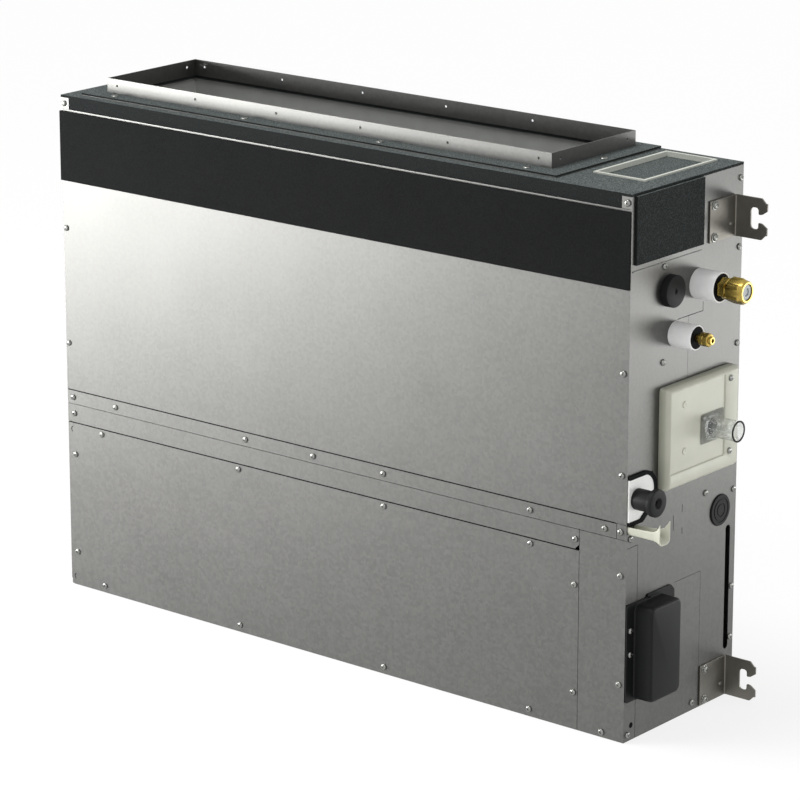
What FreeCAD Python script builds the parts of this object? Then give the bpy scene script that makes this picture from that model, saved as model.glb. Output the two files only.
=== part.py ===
import FreeCAD, Part
import math
import os

# Slim ducted indoor unit, standing on its air-return end.
# Millimetres. X to the right (the pipe side), the front face looks along -Y, Z up.
# The origin is the centre of the casing's footprint.

# Casing
casing_width = 845.0
casing_depth = 210.0
casing_height = 619.0
sheet = 1.0
foam = 3.0
seam = 0.6
fit = 0.2
flange = 13.0
half_width = casing_width / 2
half_depth = casing_depth / 2
metal_top = casing_height - foam
inner_x = half_width - sheet
inner_y = half_depth - sheet

# Seams on the front face, from the bottom up
lower_panel_top = 209.8
rail_height = 23.7
strip_height = 17.6
top_lip = 17.0
band_height = 87.5
band_gap = 2.2
hem_depth = 9.0
cover_width = 63.0
cover_return = 21.2
cover_return_drop = 9.5
rail_corner = 6.0
panel_corner = 4.0
rail_top = lower_panel_top + rail_height
partition_top = rail_top + strip_height
partition_under = partition_top - sheet
upper_panel_top = casing_height - top_lip
band_bottom = upper_panel_top - band_height
cover_left = half_width - cover_width
cover_return_height = rail_top - cover_return_drop
flange_end = half_width - flange - seam

# Duct collar and the liner under it
collar_height = 20.0
collar_from_left = 42.5
collar_from_right = 134.5
collar_from_front = 37.0
collar_from_back = 17.0
flange_margin = 20.0
flange_margin_front = 24.0
collar_foam = 1.8
liner_set_back = 12.0
liner_height = 23.0
duct_screw_pitch = 126.85
duct_screw_radius = 1.7
duct_screw_drop = 8.0
duct_screw_edge = 16.0
collar_left = -half_width + collar_from_left
collar_right = half_width - collar_from_right
collar_front = -half_depth + collar_from_front
collar_back = half_depth - collar_from_back

# Service port in the top
port_length = 71.5
port_from_right = 25.0
port_from_front = 59.0
port_from_back = 12.0
port_rim = 4.5
port_rim_height = 1.5
port_recess = 4.0
port_right = half_width - port_from_right
port_left = port_right - port_length
port_front = -half_depth + port_from_front
port_back = half_depth - port_from_back

# Hanger brackets
bracket_sheet = 2.0
bracket_height = 47.0
bracket_reach = 43.5
bracket_foot = 51.0
bracket_from_back = 15.0
bracket_low_z = 25.0
bracket_drop = 57.0
slot_width = 10.0
slot_length = 24.4
slot_centre_out = 26.9
slot_throat = 10.0
slot_mouth = 19.4
slot_mouth_depth = 7.5
bracket_chamfer = 5.5
bracket_step = 2.0
bracket_face_y = half_depth - bracket_from_back
bracket_high_z = casing_height - bracket_drop

# Fan section. The scroll fills the depth of the casing, and the wheel is sized from the scroll.
scroll_square = 9.0
scroll_wall = 2.0
scroll_clear = 8.5
scroll_floor = 13.5
scroll_width = 190.0
scroll_tongue_angle = 50.0
wheel_clear = 6.0
wheel_width = 172.0
inlet_step = 11.0
blade_count = 16
blade_sheet = 1.2
blade_bow = 3.4
blade_depth = 13.0
blade_inset = 0.5
wheel_ring = 2.0
wheel_disc = 2.0
hub_radius = 14.0
hub_reach = 14.0
shaft_radius = 6.0
shaft_past_wheel = 18.0
running_gap = 0.05
ear_reach = 15.0
fan_pitch = 211.0
fan_offset = 6.1
motor_radius = 55.0
motor_length = 80.0
boss_radius = 24.0
boss_length = 14.0
ring_thickness = 4.0
ring_width = 10.0
hanger_sheet = 2.0
hanger_margin = 12.0
hanger_foot = 22.0
hanger_window = 36.0
scroll_first_radius = half_depth - scroll_clear - scroll_wall - 1.5 * scroll_square
wheel_radius = scroll_first_radius - wheel_clear
inlet_radius = wheel_radius - inlet_step
fan_centre_x = (cover_left - half_width) / 2 + fan_offset
fan_axis_y = scroll_square
fan_axis_z = scroll_first_radius + 1.5 * scroll_square + scroll_wall + scroll_floor

# Drain pan, behind the front panel from the partition to just under the top
pan_front_gap = 1.0
pan_from_left = 4.5
pan_above_partition = 4.9
pan_drop = 28.0
pan_depth = 40.0
pan_wall = 6.0
pan_left = -half_width + pan_from_left
pan_low_z = partition_top + pan_above_partition
pan_high_z = casing_height - pan_drop
pan_floor_y = -inner_y + pan_front_gap + pan_wall

# Coil
coil_from_left = 34.5
coil_from_right = 124.5
coil_from_front = 31.5
coil_from_back = 30.5
coil_above_pan = 31.0
coil_below_pan_top = 14.0
coil_thickness = 44.0
end_plate = 1.2
tube_radius = 4.76
tube_pitch = 25.4
row_pitch = 22.0
tube_stub = 3.0
circuit_tubes = 4
header_radius = 9.5
header_end = 14.0
header_past_gas = 9.7
header_offset = 34.0
distributor_inset = 48.0
distributor_length = 22.0
distributor_radius = 9.0
capillary_radius = 1.6
capillary_pitch = 4.5
capillary_lead = 10.0
capillary_clear = 8.0
coil_left = -half_width + coil_from_left
coil_right = half_width - coil_from_right
coil_low_y = -half_depth + coil_from_front
coil_high_y = half_depth - coil_from_back
coil_low_z = pan_low_z + coil_above_pan
coil_high_z = pan_high_z - coil_below_pan_top

# Drain side
block_above_partition = 3.4
block_height = 48.0
block_depth = 47.0
block_proud = 2.0
block_radius = 18.0
block_slope_y = 26.0
block_slope_z = 18.0
gasket_width = 4.5
gasket_proud = 3.2
drain_from_front = 15.1
drain_above_block = 24.4
drain_stub_radius = 8.0
drain_stub_length = 24.0
drain_wall = 2.0
plug_radius = 12.0
plug_flange_radius = 15.5
plug_length = 30.9
plug_flange = 7.0
vent_radius = 3.0
spout_length = 45.0
spout_wall = 2.0
spout_width = 14.0
spout_height = 10.0
spout_drop = 11.6
spout_flare = 13.5
spout_mouth = 9.0
spout_spread = 3.0
block_low = partition_top + block_above_partition
block_high = block_low + block_height
block_back = -half_depth + block_depth
drain_y = -half_depth + drain_from_front
drain_z = block_low + drain_above_block
spout_low_z = partition_top - spout_drop
spout_high_z = spout_low_z + spout_height

# Drain pump, its cover and its outlet
cover_above_partition = 26.4
cover_span = 116.0
cover_from_front = 56.5
cover_from_back = 17.0
cover_height = 13.5
cover_wall = 2.5
cover_corner = 3.0
cover_hole_margin = 14.0
field_edge = 2.0
field_from_back = 28.0
field_above = 17.5
field_below = 5.0
field_depth = 1.5
socket_from_back = 52.0
socket_above = 56.5
socket_plate_y = 44.0
socket_plate_z = 34.0
socket_plate = 1.5
socket_radius = 12.0
socket_bore = 10.0
socket_length = 34.0
pump_from_side = 47.5
pump_motor_radius = 21.0
pump_motor_length = 46.0
volute_radius = 27.0
volute_wall = 2.5
volute_length = 36.0
suction_radius = 10.0
suction_wall = 2.0
suction_length = 48.0
suction_clear = 9.0
impeller_radius = 20.0
impeller_vanes = 6
impeller_disc = 2.0
impeller_depth = 14.0
impeller_clear = 3.0
impeller_shaft = 2.5
vane_sheet = 1.6
riser_radius = 6.0
riser_clear = 1.5
shelf_sheet = 3.0
shelf_reach = 30.0
shelf_half = 56.0
float_from_pump = 19.0
float_above_pump = 41.0
float_stem = 4.0
float_radius = 11.0
float_height = 18.0
float_cap = 14.0
float_gap = 0.3
float_clear = 3.0
float_stop = 3.0
cover_low_z = partition_top + cover_above_partition
cover_high_z = cover_low_z + cover_span
cover_low_y = -half_depth + cover_from_front
cover_high_y = half_depth - cover_from_back
socket_y = cover_high_y - socket_from_back
socket_z = cover_low_z + socket_above
pump_x = half_width - pump_from_side
pump_z = socket_z
suction_end_y = pan_floor_y + suction_clear
volute_low_y = suction_end_y + suction_length
volute_high_y = volute_low_y + volute_length
float_x = pump_x - float_from_pump
float_z = pump_z + float_above_pump

# The pipe side above the pump cover, its heights as shares of what is left there
side_zone = casing_height - cover_high_z
gas_share = 0.4608
liquid_share = 0.2483
cable_plug_share = 0.4731
patch_share = 0.651
gas_z = cover_high_z + gas_share * side_zone
liquid_z = cover_high_z + liquid_share * side_zone
cable_plug_z = cover_high_z + cable_plug_share * side_zone
patch_bottom = cover_high_z + patch_share * side_zone
patch_from_front = 3.5
patch_gap = 12.0
patch_front = -half_depth + patch_from_front
patch_back = bracket_face_y - bracket_foot - patch_gap
ledge_below_patch = 6.3
ledge_height = 1.5
ledge_proud = 0.8

# Refrigerant connections
gas_pipe_radius = 6.35
gas_sleeve_radius = 17.0
gas_sleeve_length = 31.0
gas_end = 64.7
liquid_before_header = 17.877
liquid_pipe_radius = 3.18
liquid_sleeve_radius = 14.0
liquid_sleeve_length = 29.4
liquid_end = 49.5
sleeve_skin = 1.4
pipe_hole_gap = 2.0
gas_union_across = 22.0
gas_union_length = 33.0
gas_union_hexagon = 10.0
gas_nut_across = 26.0
gas_nut_length = 22.0
gas_nut_hexagon = 9.5
gas_neck_radius = 9.0
gas_plug_depth = 7.0
gas_plug_sunk = 1.5
liquid_across = 14.0
liquid_union_length = 18.0
liquid_neck_radius = 4.6

# Rubber plugs and the wiring cover
cable_plug_y = -32.9
cable_plug_radius = 18.0
cable_plug_height = 11.7
cable_hole = 2.5
neck_share = 0.7
neck_depth = 3.0
grommet_from_back = 32.0
grommet_below_rail = 8.5
grommet_radius = 18.5
grommet_height = 2.0
wiring_from_front = 15.0
wiring_depth = 57.0
wiring_low_z = 46.5
wiring_high_z = 157.0
wiring_height = 25.0
wiring_wall = 2.0
wiring_corner = 8.0
wiring_edge = 3.0
wiring_foot = 14.5
wiring_ear = 18.0
wiring_ear_rise = 6.0
wiring_ear_height = 36.0
wiring_ear_overlap = 30.0
wiring_ear_corner = 7.0
wiring_entry_radius = 14.0
grommet_y = half_depth - grommet_from_back
grommet_z = rail_top - grommet_below_rail
wiring_low_y = -half_depth + wiring_from_front
wiring_high_y = wiring_low_y + wiring_depth

# Seams, slots and holes pressed through the right side plate
slit = 0.8
joint_above_liquid = 14.5
joint_step = 11.0
joint_front = -17.0
joint_back = 32.0
joint_leg_y = 4.0
knock_out_z = 162.0
knock_out_front = -13.0
knock_out_back = 38.0
knock_out_foot = 12.0
vent_slot_from_back = 14.5
vent_slot_width = 9.0
vent_slot_low = 55.0
vent_slot_high = 203.0
side_hole_from_front = 13.9
side_hole_z = 17.3
side_hole_radius = 3.5

# Electrical compartment
box_from_back = 65.0
box_low_z = 2.0
box_below_rail = 3.5
board_sheet = 1.6
board_standoff = 6.0
board_from_front = 15.0
board_from_back = 18.0
board_low = 66.0
board_below_top = 14.0
board_margin = 6.0
board_inset = 8.0
standoff_radius = 3.0
transformer_side = 32.0
transformer_height = 20.0
transformer_below = 12.0
relay_count = 4
relay_width = 16.0
relay_height = 13.0
relay_length = 22.0
connector_count = 5
connector_pitch = 20.0
connector_length = 14.0
connector_width = 9.0
connector_height = 9.0
connector_start = 44.0
capacitor_radius = 8.0
capacitor_height = 16.0
capacitor_from_front = 62.0
capacitor_low = 60.0
capacitor_pitch = 24.0
terminal_inset = 8.0
terminal_depth = 16.0
terminal_low = 14.0
terminal_high = 44.0
terminal_count = 5
terminal_wall = 1.0
terminal_edge = 3.0
terminal_pocket = 8.0
box_depth_y = half_depth - box_from_back
box_high_z = rail_top - box_below_rail

# Air return
return_from_left = 26.5
return_from_right = 88.5
return_from_side = 25.0
rail_lip = 4.0
filter_height = 8.0
filter_border = 6.0
filter_overlap = 4.0
filter_bar = 10.0
filter_mesh_rise = 6.0
filter_mesh = 1.0
filter_groove = 5.0
filter_ribs = 4
filter_rib_width = 4.0
filter_rib_height = 2.0
return_left = -half_width + return_from_left
return_right = half_width - return_from_right
return_half_depth = half_depth - return_from_side

X = FreeCAD.Vector(1, 0, 0)
Y = FreeCAD.Vector(0, 1, 0)
Z = FreeCAD.Vector(0, 0, 1)


def at(x, y, z):
    return FreeCAD.Vector(x, y, z)


def box(x0, x1, y0, y1, z0, z1):
    return Part.makeBox(x1 - x0, y1 - y0, z1 - z0, at(x0, y0, z0))


def rod(start, direction, radius, length):
    return Part.makeCylinder(radius, length, start, direction)


def rod_x(x0, x1, y, z, radius):
    return rod(at(x0, y, z), X, radius, x1 - x0)


def rod_y(y0, y1, x, z, radius):
    return rod(at(x, y0, z), Y, radius, y1 - y0)


def joined(shapes):
    first, rest = shapes[0], shapes[1:]
    return first.fuse(rest).removeSplitter() if rest else first


def polygon(points):
    return Part.Wire(Part.makePolygon(points + [points[0]]).Edges)


def prism(points, along):
    """A flat outline of points pushed along a vector."""
    return Part.Face(polygon(points)).extrude(along)


def hexagon_x(x0, x1, y, z, across, sides=6):
    """A prism along X, its width across flats given."""
    corner = across / 2 / math.cos(math.pi / sides)
    turns = [2 * math.pi * (i + 0.5) / sides for i in range(sides)]
    points = [at(x0, y + corner * math.cos(a), z + corner * math.sin(a)) for a in turns]
    return prism(points, at(x1 - x0, 0, 0))


def drum(start, direction, radius, length, sides=16):
    """A many-sided bar, for round pieces that repeat or are out of sight. Its corners lie on the radius."""
    side = Z if abs(direction.z) < 0.9 else X
    u = direction.cross(side)
    u.normalize()
    v = direction.cross(u)
    turns = [2 * math.pi * (i + 0.5) / sides for i in range(sides)]
    points = [start + u * (radius * math.cos(a)) + v * (radius * math.sin(a)) for a in turns]
    return prism(points, direction * length)


def drum_x(x0, x1, y, z, radius, sides=16):
    return drum(at(x0, y, z), X, radius, x1 - x0, sides)


def drum_y(y0, y1, x, z, radius, sides=16):
    return drum(at(x, y0, z), Y, radius, y1 - y0, sides)


def sleeve_x(x0, x1, y, z, outer, inner):
    return drum_x(x0, x1, y, z, outer).cut(drum_x(x0 - 1, x1 + 1, y, z, inner))


def rounded_prism(low, high, radius, start, along, across):
    """A rounded rectangle from low to high in the plane across, pushed along a vector from start."""
    u, v = across
    corners = [(high[0], high[1], 0), (low[0], high[1], 90), (low[0], low[1], 180), (high[0], low[1], 270)]
    edges = []
    ends = []
    for cu, cv, turn in corners:
        mid_u = cu - math.copysign(radius, math.cos(math.radians(turn + 45)))
        mid_v = cv - math.copysign(radius, math.sin(math.radians(turn + 45)))
        spots = []
        for step in (0, 45, 90):
            a = math.radians(turn + step)
            spots.append(start + u * (mid_u + radius * math.cos(a)) + v * (mid_v + radius * math.sin(a)))
        edges.append(Part.Arc(*spots).toShape())
        ends.append((spots[0], spots[2]))
    loop = []
    for i, edge in enumerate(edges):
        loop += [edge, Part.LineSegment(ends[i][1], ends[(i + 1) % 4][0]).toShape()]
    return Part.Face(Part.Wire(loop)).extrude(along)


def mirrored(shape):
    """The same piece on the other side of the unit."""
    return shape.mirror(at(0, 0, 0), X)


# Side plates: a web with narrow flanges folded in behind the front and back panels.
def side_plate():
    web = box(inner_x, half_width, -inner_y, inner_y, 0, metal_top)
    front = box(half_width - flange, inner_x, -inner_y, -inner_y + sheet, 0, metal_top)
    back = box(half_width - flange, inner_x, inner_y - sheet, inner_y, 0, metal_top)
    tab = box(half_width - flange, half_width, -half_depth, -inner_y, upper_panel_top + seam, metal_top)
    return joined([web, front, back, tab])


def left_side_plate():
    return mirrored(side_plate())


def side_slits(x0, x1):
    """The stepped joint below the gas pipe, the knock-out beside the wiring cover and the long vent slot."""
    joint_z = liquid_z + joint_above_liquid
    slot_y = half_depth - vent_slot_from_back
    slot_half = vent_slot_width / 2
    return [
        box(x0, x1, joint_front, joint_back, joint_z, joint_z + slit),
        box(x0, x1, joint_back - slit, joint_back, joint_z, joint_z + joint_step),
        box(x0, x1, joint_leg_y, joint_leg_y + slit / 2, cover_high_z + slit, joint_z),
        box(x0, x1, knock_out_front, knock_out_back, knock_out_z, knock_out_z + slit / 2),
        box(x0, x1, knock_out_back - slit / 2, knock_out_back, knock_out_foot, knock_out_z),
        box(x0, x1, slot_y - slot_half, slot_y + slot_half, vent_slot_low + slot_half,
            vent_slot_high - slot_half),
        drum_x(x0, x1, slot_y, vent_slot_low + slot_half, slot_half, 12),
        drum_x(x0, x1, slot_y, vent_slot_high - slot_half, slot_half, 12),
    ]


def right_side_plate():
    plate = side_plate()
    inside = inner_x - seam
    outside = half_width + seam
    tab = box(half_width - flange, half_width, -half_depth, -inner_y, rail_top + seam, partition_top)
    return_y = -half_depth + cover_return + seam
    clear = [
        box(flange_end, outside, -half_depth, return_y, -seam, cover_return_height + seam),
        box(flange_end, inner_x, -half_depth, -half_depth + flange, block_low, block_high),
        box(inside, outside, -half_depth, block_back, block_low, block_high),
        box(inside, outside, cover_low_y + cover_hole_margin, cover_high_y - cover_hole_margin,
            cover_low_z + cover_hole_margin, cover_high_z - cover_hole_margin),
        drum_x(inside, outside, gas_y, gas_z, gas_pipe_radius + pipe_hole_gap, 8),
        drum_x(inside, outside, liquid_y, liquid_z, liquid_pipe_radius + pipe_hole_gap, 8),
        drum_x(inside, outside, cable_plug_y, cable_plug_z, cable_plug_radius * neck_share, 12),
        drum_x(inside, outside, grommet_y, grommet_z, grommet_radius * neck_share, 12),
        drum_x(inside, outside, (wiring_low_y + wiring_high_y) / 2, (wiring_low_z + wiring_high_z) / 2,
               wiring_entry_radius, 8),
        drum_x(inside, outside, -half_depth + side_hole_from_front, side_hole_z, side_hole_radius, 8),
    ]
    top = patch_bottom - ledge_below_patch
    ledge = box(inner_x, half_width + ledge_proud, patch_front, patch_back, top - ledge_height, top)
    return joined([plate, tab, ledge]).cut(clear + side_slits(inside, outside))


def back_panel():
    return box(-half_width, half_width, inner_y, half_depth, 0, metal_top)


# Front face, from the top down: upper panel, partition flange, rail, lower panel, control box cover.
def front_upper_panel():
    skin = box(-half_width, half_width, -half_depth, -inner_y, partition_top + seam, upper_panel_top)
    hem = box(-flange_end, flange_end, -inner_y, -inner_y + hem_depth,
              upper_panel_top - sheet, upper_panel_top)
    return joined([skin, hem])


def fan_partition():
    """The plate between the fans and the coil, with its flange strip on the front face."""
    shelf = box(-inner_x + fit, inner_x - fit, -inner_y, inner_y - sheet, partition_under, partition_top)
    strip = box(-half_width, flange_end, -half_depth, -inner_y, rail_top + seam, partition_top)
    notches = []
    low, high = partition_under - seam, partition_top + seam
    for side in (-1, 1):
        x0, x1 = sorted((side * flange_end, side * (half_width + sheet)))
        notches.append(box(x0, x1, -inner_y, -inner_y + sheet + fit, low, high))
        notches.append(box(x0, x1, inner_y - sheet - fit, inner_y, low, high))
    for centre in fan_centres:
        reach = scroll_width / 2
        notches.append(box(centre - reach, centre + reach, scroll_left_y, tongue[0], low, high))
    return joined([shelf.cut(notches), strip])


def front_rail():
    end = cover_left - seam
    low = lower_panel_top + seam
    points = [
        at(-half_width, -half_depth, low),
        at(end - rail_corner, -half_depth, low),
        at(end, -half_depth, low + rail_corner),
        at(end, -half_depth, rail_top),
        at(-half_width, -half_depth, rail_top),
    ]
    face = prism(points, Y * sheet)
    shelf = box(-flange_end, end - rail_corner, -inner_y, -inner_y + rail_corner, low, low + sheet)
    return joined([face, shelf])


def front_lower_panel():
    points = [
        at(-half_width + panel_corner, -half_depth, 0),
        at(cover_left - seam, -half_depth, 0),
        at(cover_left - seam, -half_depth, lower_panel_top),
        at(-half_width, -half_depth, lower_panel_top),
        at(-half_width, -half_depth, 2 * panel_corner),
    ]
    return prism(points, Y * sheet)


def control_box_cover():
    front = box(cover_left, half_width, -half_depth, -inner_y, 0, rail_top)
    side = box(inner_x, half_width, -inner_y, -half_depth + cover_return, 0, cover_return_height)
    return joined([front, side])


# Top: sheet, foam, service port and the duct collar.
def duct_mouth(grow, z0, z1):
    return box(collar_left - grow, collar_right + grow, collar_front - grow, collar_back + grow, z0, z1)


def port_hole(z0, z1):
    return box(port_left, port_right, port_front, port_back, z0, z1)


def top_plate():
    sheet_top = box(-inner_x, inner_x, -inner_y, inner_y, metal_top - sheet, metal_top)
    corners = []
    for side in (-1, 1):
        x0, x1 = sorted((side * flange_end, side * half_width))
        corners.append(box(x0, x1, -inner_y, -inner_y + sheet, metal_top - 2 * sheet, metal_top))
        corners.append(box(x0, x1, inner_y - sheet, inner_y, metal_top - 2 * sheet, metal_top))
    drop = box(-flange_end, flange_end, -inner_y, -inner_y + sheet, upper_panel_top + seam, metal_top)
    tray = box(port_left, port_right, port_front, port_back, metal_top - port_recess - sheet, metal_top)
    well = box(port_left + sheet, port_right - sheet, port_front + sheet, port_back - sheet,
               metal_top - port_recess, metal_top + seam)
    return joined([sheet_top.cut(corners + [duct_mouth(0, 0, casing_height)]), drop, tray]).cut(well)


def top_foam():
    """Foam sheet on the top, the strip down its front flange and the pad in the service port."""
    cover = box(-half_width, half_width, -half_depth, half_depth, metal_top, casing_height)
    cover = cover.cut([duct_mouth(0, 0, casing_height + 1), port_hole(0, casing_height + 1)])
    strip = box(-flange_end, flange_end, -half_depth, -inner_y, upper_panel_top + seam, metal_top)
    pad = box(port_left + port_rim, port_right - port_rim, port_front + port_rim, port_back - port_rim,
              metal_top - port_recess, casing_height - port_recess)
    return Part.makeCompound([joined([cover, strip]), pad])


def port_frame():
    outer = box(port_left + sheet, port_right - sheet, port_front + sheet, port_back - sheet,
                metal_top - port_recess, casing_height + port_rim_height)
    inner = box(port_left + port_rim, port_right - port_rim, port_front + port_rim, port_back - port_rim,
                metal_top - port_recess - 1, casing_height + port_rim_height + 1)
    return outer.cut(inner)


def collar_flange(z0, z1):
    right = collar_right + flange_margin_front
    outer = box(collar_left - flange_margin, right, collar_front - flange_margin_front, inner_y, z0, z1)
    return outer.cut(duct_mouth(-sheet, z0 - 1, z1 + 1))


def outlet_collar():
    """Four walls on a flat flange, with a row of duct screw holes below the rim."""
    rim = casing_height + collar_height
    walls = duct_mouth(0, casing_height, rim).cut(duct_mouth(-sheet, casing_height - 1, rim + 1))
    body = joined([collar_flange(casing_height, casing_height + sheet), walls])
    hole_z = rim - duct_screw_drop
    holes = []
    count = int((collar_right - collar_left - 2 * duct_screw_edge + 1) / duct_screw_pitch) + 1
    for i in range(count):
        x = collar_left + duct_screw_edge + i * duct_screw_pitch
        for y in (collar_front, collar_back - sheet):
            holes.append(drum_y(y - 1, y + sheet + 1, x, hole_z, duct_screw_radius, 6))
    for y in (collar_front + duct_screw_edge, collar_back - duct_screw_edge):
        for x in (collar_left, collar_right - sheet):
            holes.append(drum_x(x - 1, x + sheet + 1, y, hole_z, duct_screw_radius, 6))
    return body.cut(holes)


def collar_foam_sheet():
    outer = collar_flange(casing_height + sheet, casing_height + sheet + collar_foam)
    return outer.cut(duct_mouth(0, casing_height, casing_height + collar_height))


def outlet_liner():
    low = metal_top - sheet - liner_height
    outer = duct_mouth(liner_set_back, low, metal_top - sheet)
    inner = duct_mouth(liner_set_back - sheet, low - 1, metal_top)
    return outer.cut(inner)


# Foam on the outside of the casing.
def front_foam_band():
    top = upper_panel_top - band_gap
    return box(-half_width, half_width, -half_depth - foam, -half_depth, band_bottom, top)


def side_foams():
    patch = box(half_width, half_width + foam, patch_front, patch_back, patch_bottom, metal_top)
    return Part.makeCompound([patch, mirrored(patch)])


# Hanger brackets: an angle of thicker sheet, its outward leaf slotted for a hanging rod.
def hanger_bracket(z):
    half = bracket_height / 2
    tip = half_width + bracket_reach
    foot = box(half_width, half_width + bracket_sheet, bracket_face_y - bracket_foot, bracket_face_y,
               z - half, z + half)
    lug = slot_mouth / 2
    top = [
        at(half_width, bracket_face_y, z + half),
        at(tip - bracket_chamfer - bracket_step, bracket_face_y, z + half),
        at(tip - bracket_step, bracket_face_y, z + half - bracket_chamfer),
        at(tip, bracket_face_y, z + half - bracket_chamfer),
        at(tip, bracket_face_y, z + lug),
    ]
    low = [at(p.x, p.y, 2 * z - p.z) for p in reversed(top)]
    leaf = prism(top + low, Y * -bracket_sheet)
    centre = half_width + slot_centre_out
    reach = slot_length / 2 - slot_width / 2
    y0, y1 = bracket_face_y - bracket_sheet - 1, bracket_face_y + 1
    slot = [
        box(centre - slot_width / 2, centre + slot_width / 2, y0, y1, z - reach, z + reach),
        drum_y(y0, y1, centre, z - reach, slot_width / 2, 12),
        drum_y(y0, y1, centre, z + reach, slot_width / 2, 12),
        box(centre, tip - slot_mouth_depth + fit, y0, y1, z - slot_throat / 2, z + slot_throat / 2),
    ]
    mouth = tip - slot_mouth_depth
    flare = prism([at(mouth, y0, z - slot_throat / 2), at(tip + 1, y0, z - lug), at(tip + 1, y0, z + lug),
                   at(mouth, y0, z + slot_throat / 2)], at(0, y1 - y0, 0))
    return joined([foot, leaf]).cut(slot + [flare])


def hanger_brackets_right():
    return Part.makeCompound([hanger_bracket(z) for z in (bracket_low_z, bracket_high_z)])


def hanger_brackets_left():
    return Part.makeCompound([mirrored(hanger_bracket(z)) for z in (bracket_low_z, bracket_high_z)])


# Fans: two double-inlet wheels on one shaft, the motor between them.
fan_centres = (fan_centre_x - fan_pitch, fan_centre_x + fan_pitch)
hanger_offset = (motor_length + boss_length) / 2
motor_hangers = (fan_centre_x - hanger_offset, fan_centre_x + hanger_offset)
scroll_side_1 = (fan_axis_y + scroll_square / 2, fan_axis_z - scroll_square / 2)
scroll_side_2 = (fan_axis_y - scroll_square / 2, fan_axis_z - scroll_square / 2)
scroll_side_3 = (fan_axis_y - scroll_square / 2, fan_axis_z + scroll_square / 2)
scroll_left_y = scroll_side_3[0] - scroll_first_radius - 2 * scroll_square
tongue = (
    scroll_side_1[0] + scroll_first_radius * math.cos(math.radians(scroll_tongue_angle)),
    scroll_side_1[1] + scroll_first_radius * math.sin(math.radians(scroll_tongue_angle)),
)


def scroll_path(x, offset):
    """The scroll line, offset outwards: three quarter arcs round the corners of a small square,
    then straight up to the outlet. Starts at the top left and ends at the top of the tongue wall."""
    def spot(centre, radius, degrees):
        a = math.radians(degrees)
        return at(x, centre[0] + radius * math.cos(a), centre[1] + radius * math.sin(a))

    def arc(centre, radius, start, end):
        middle = (start + end) / 2
        return Part.Arc(spot(centre, radius, start), spot(centre, radius, middle), spot(centre, radius, end))

    r1 = scroll_first_radius + offset
    r2 = r1 + scroll_square
    r3 = r2 + scroll_square
    wall_y = tongue[0] + offset
    last = math.degrees(math.acos((wall_y - scroll_side_1[0]) / r1))
    top_left = at(x, scroll_side_3[0] - r3, partition_under)
    pieces = [
        Part.LineSegment(top_left, spot(scroll_side_3, r3, 180)),
        arc(scroll_side_3, r3, 180, 270),
        arc(scroll_side_2, r2, 270, 360),
        arc(scroll_side_1, r1, 0, last),
        Part.LineSegment(spot(scroll_side_1, r1, last), at(x, wall_y, partition_under)),
    ]
    return [piece.toShape() for piece in pieces]


def scroll_housing(centre):
    """A scroll wall between two cheeks with round inlets, cut into halves at the shaft."""
    x0 = centre - scroll_width / 2
    inner = scroll_path(x0, 0)
    outer = scroll_path(x0, scroll_wall)
    ends = [Part.LineSegment(inner[i].Vertexes[i].Point, outer[i].Vertexes[i].Point).toShape()
            for i in (0, -1)]
    wall = Part.Face(Part.Wire(inner + [ends[1]] + outer[::-1] + [ends[0]])).extrude(X * scroll_width)
    lid_line = Part.LineSegment(outer[-1].Vertexes[-1].Point, outer[0].Vertexes[0].Point).toShape()
    outline = Part.Face(Part.Wire(outer + [lid_line]))
    parts = [wall]
    for side in (-1, 1):
        inside = centre + side * scroll_width / 2
        outside = inside + side * scroll_wall
        cheek = outline.copy()
        cheek.translate(at(inside - x0, 0, 0))
        cheek = cheek.extrude(X * (side * scroll_wall))
        low, high = sorted((inside, outside))
        parts.append(cheek.cut(drum_x(low - 1, high + 1, fan_axis_y, fan_axis_z, inlet_radius, 24)))
        low, high = sorted((outside, inside + side * ear_reach))
        parts.append(box(low, high, scroll_left_y, tongue[0], partition_under - scroll_wall, partition_under))
    whole = joined(parts)
    reach = casing_width
    split = 0.1
    upper = whole.common(box(-reach, reach, -reach, reach, fan_axis_z + split, reach))
    lower = whole.common(box(-reach, reach, -reach, reach, -reach, fan_axis_z - split))
    return upper, lower


def scroll_housings(half):
    return Part.makeCompound([scroll_housing(centre)[half] for centre in fan_centres])


def scroll_uppers():
    return scroll_housings(0)


def scroll_lowers():
    return scroll_housings(1)


def blade(x0, length, degrees):
    """One forward-curved blade, as a sheet bent once between its inner and outer edge."""
    half = blade_sheet / 2
    inner = wheel_radius - blade_depth + blade_inset
    outer = wheel_radius - blade_inset - fit
    middle = (inner + outer) / 2
    line = [(inner, 0.0), (middle, -blade_bow), (outer, blade_bow / 2)]
    points = [at(x0, radius, shift - half) for radius, shift in line]
    points += [at(x0, radius, shift + half) for radius, shift in reversed(line)]
    shape = prism(points, X * length)
    shape.rotate(at(0, 0, 0), X, degrees)
    shape.translate(at(0, fan_axis_y, fan_axis_z))
    return shape


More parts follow.
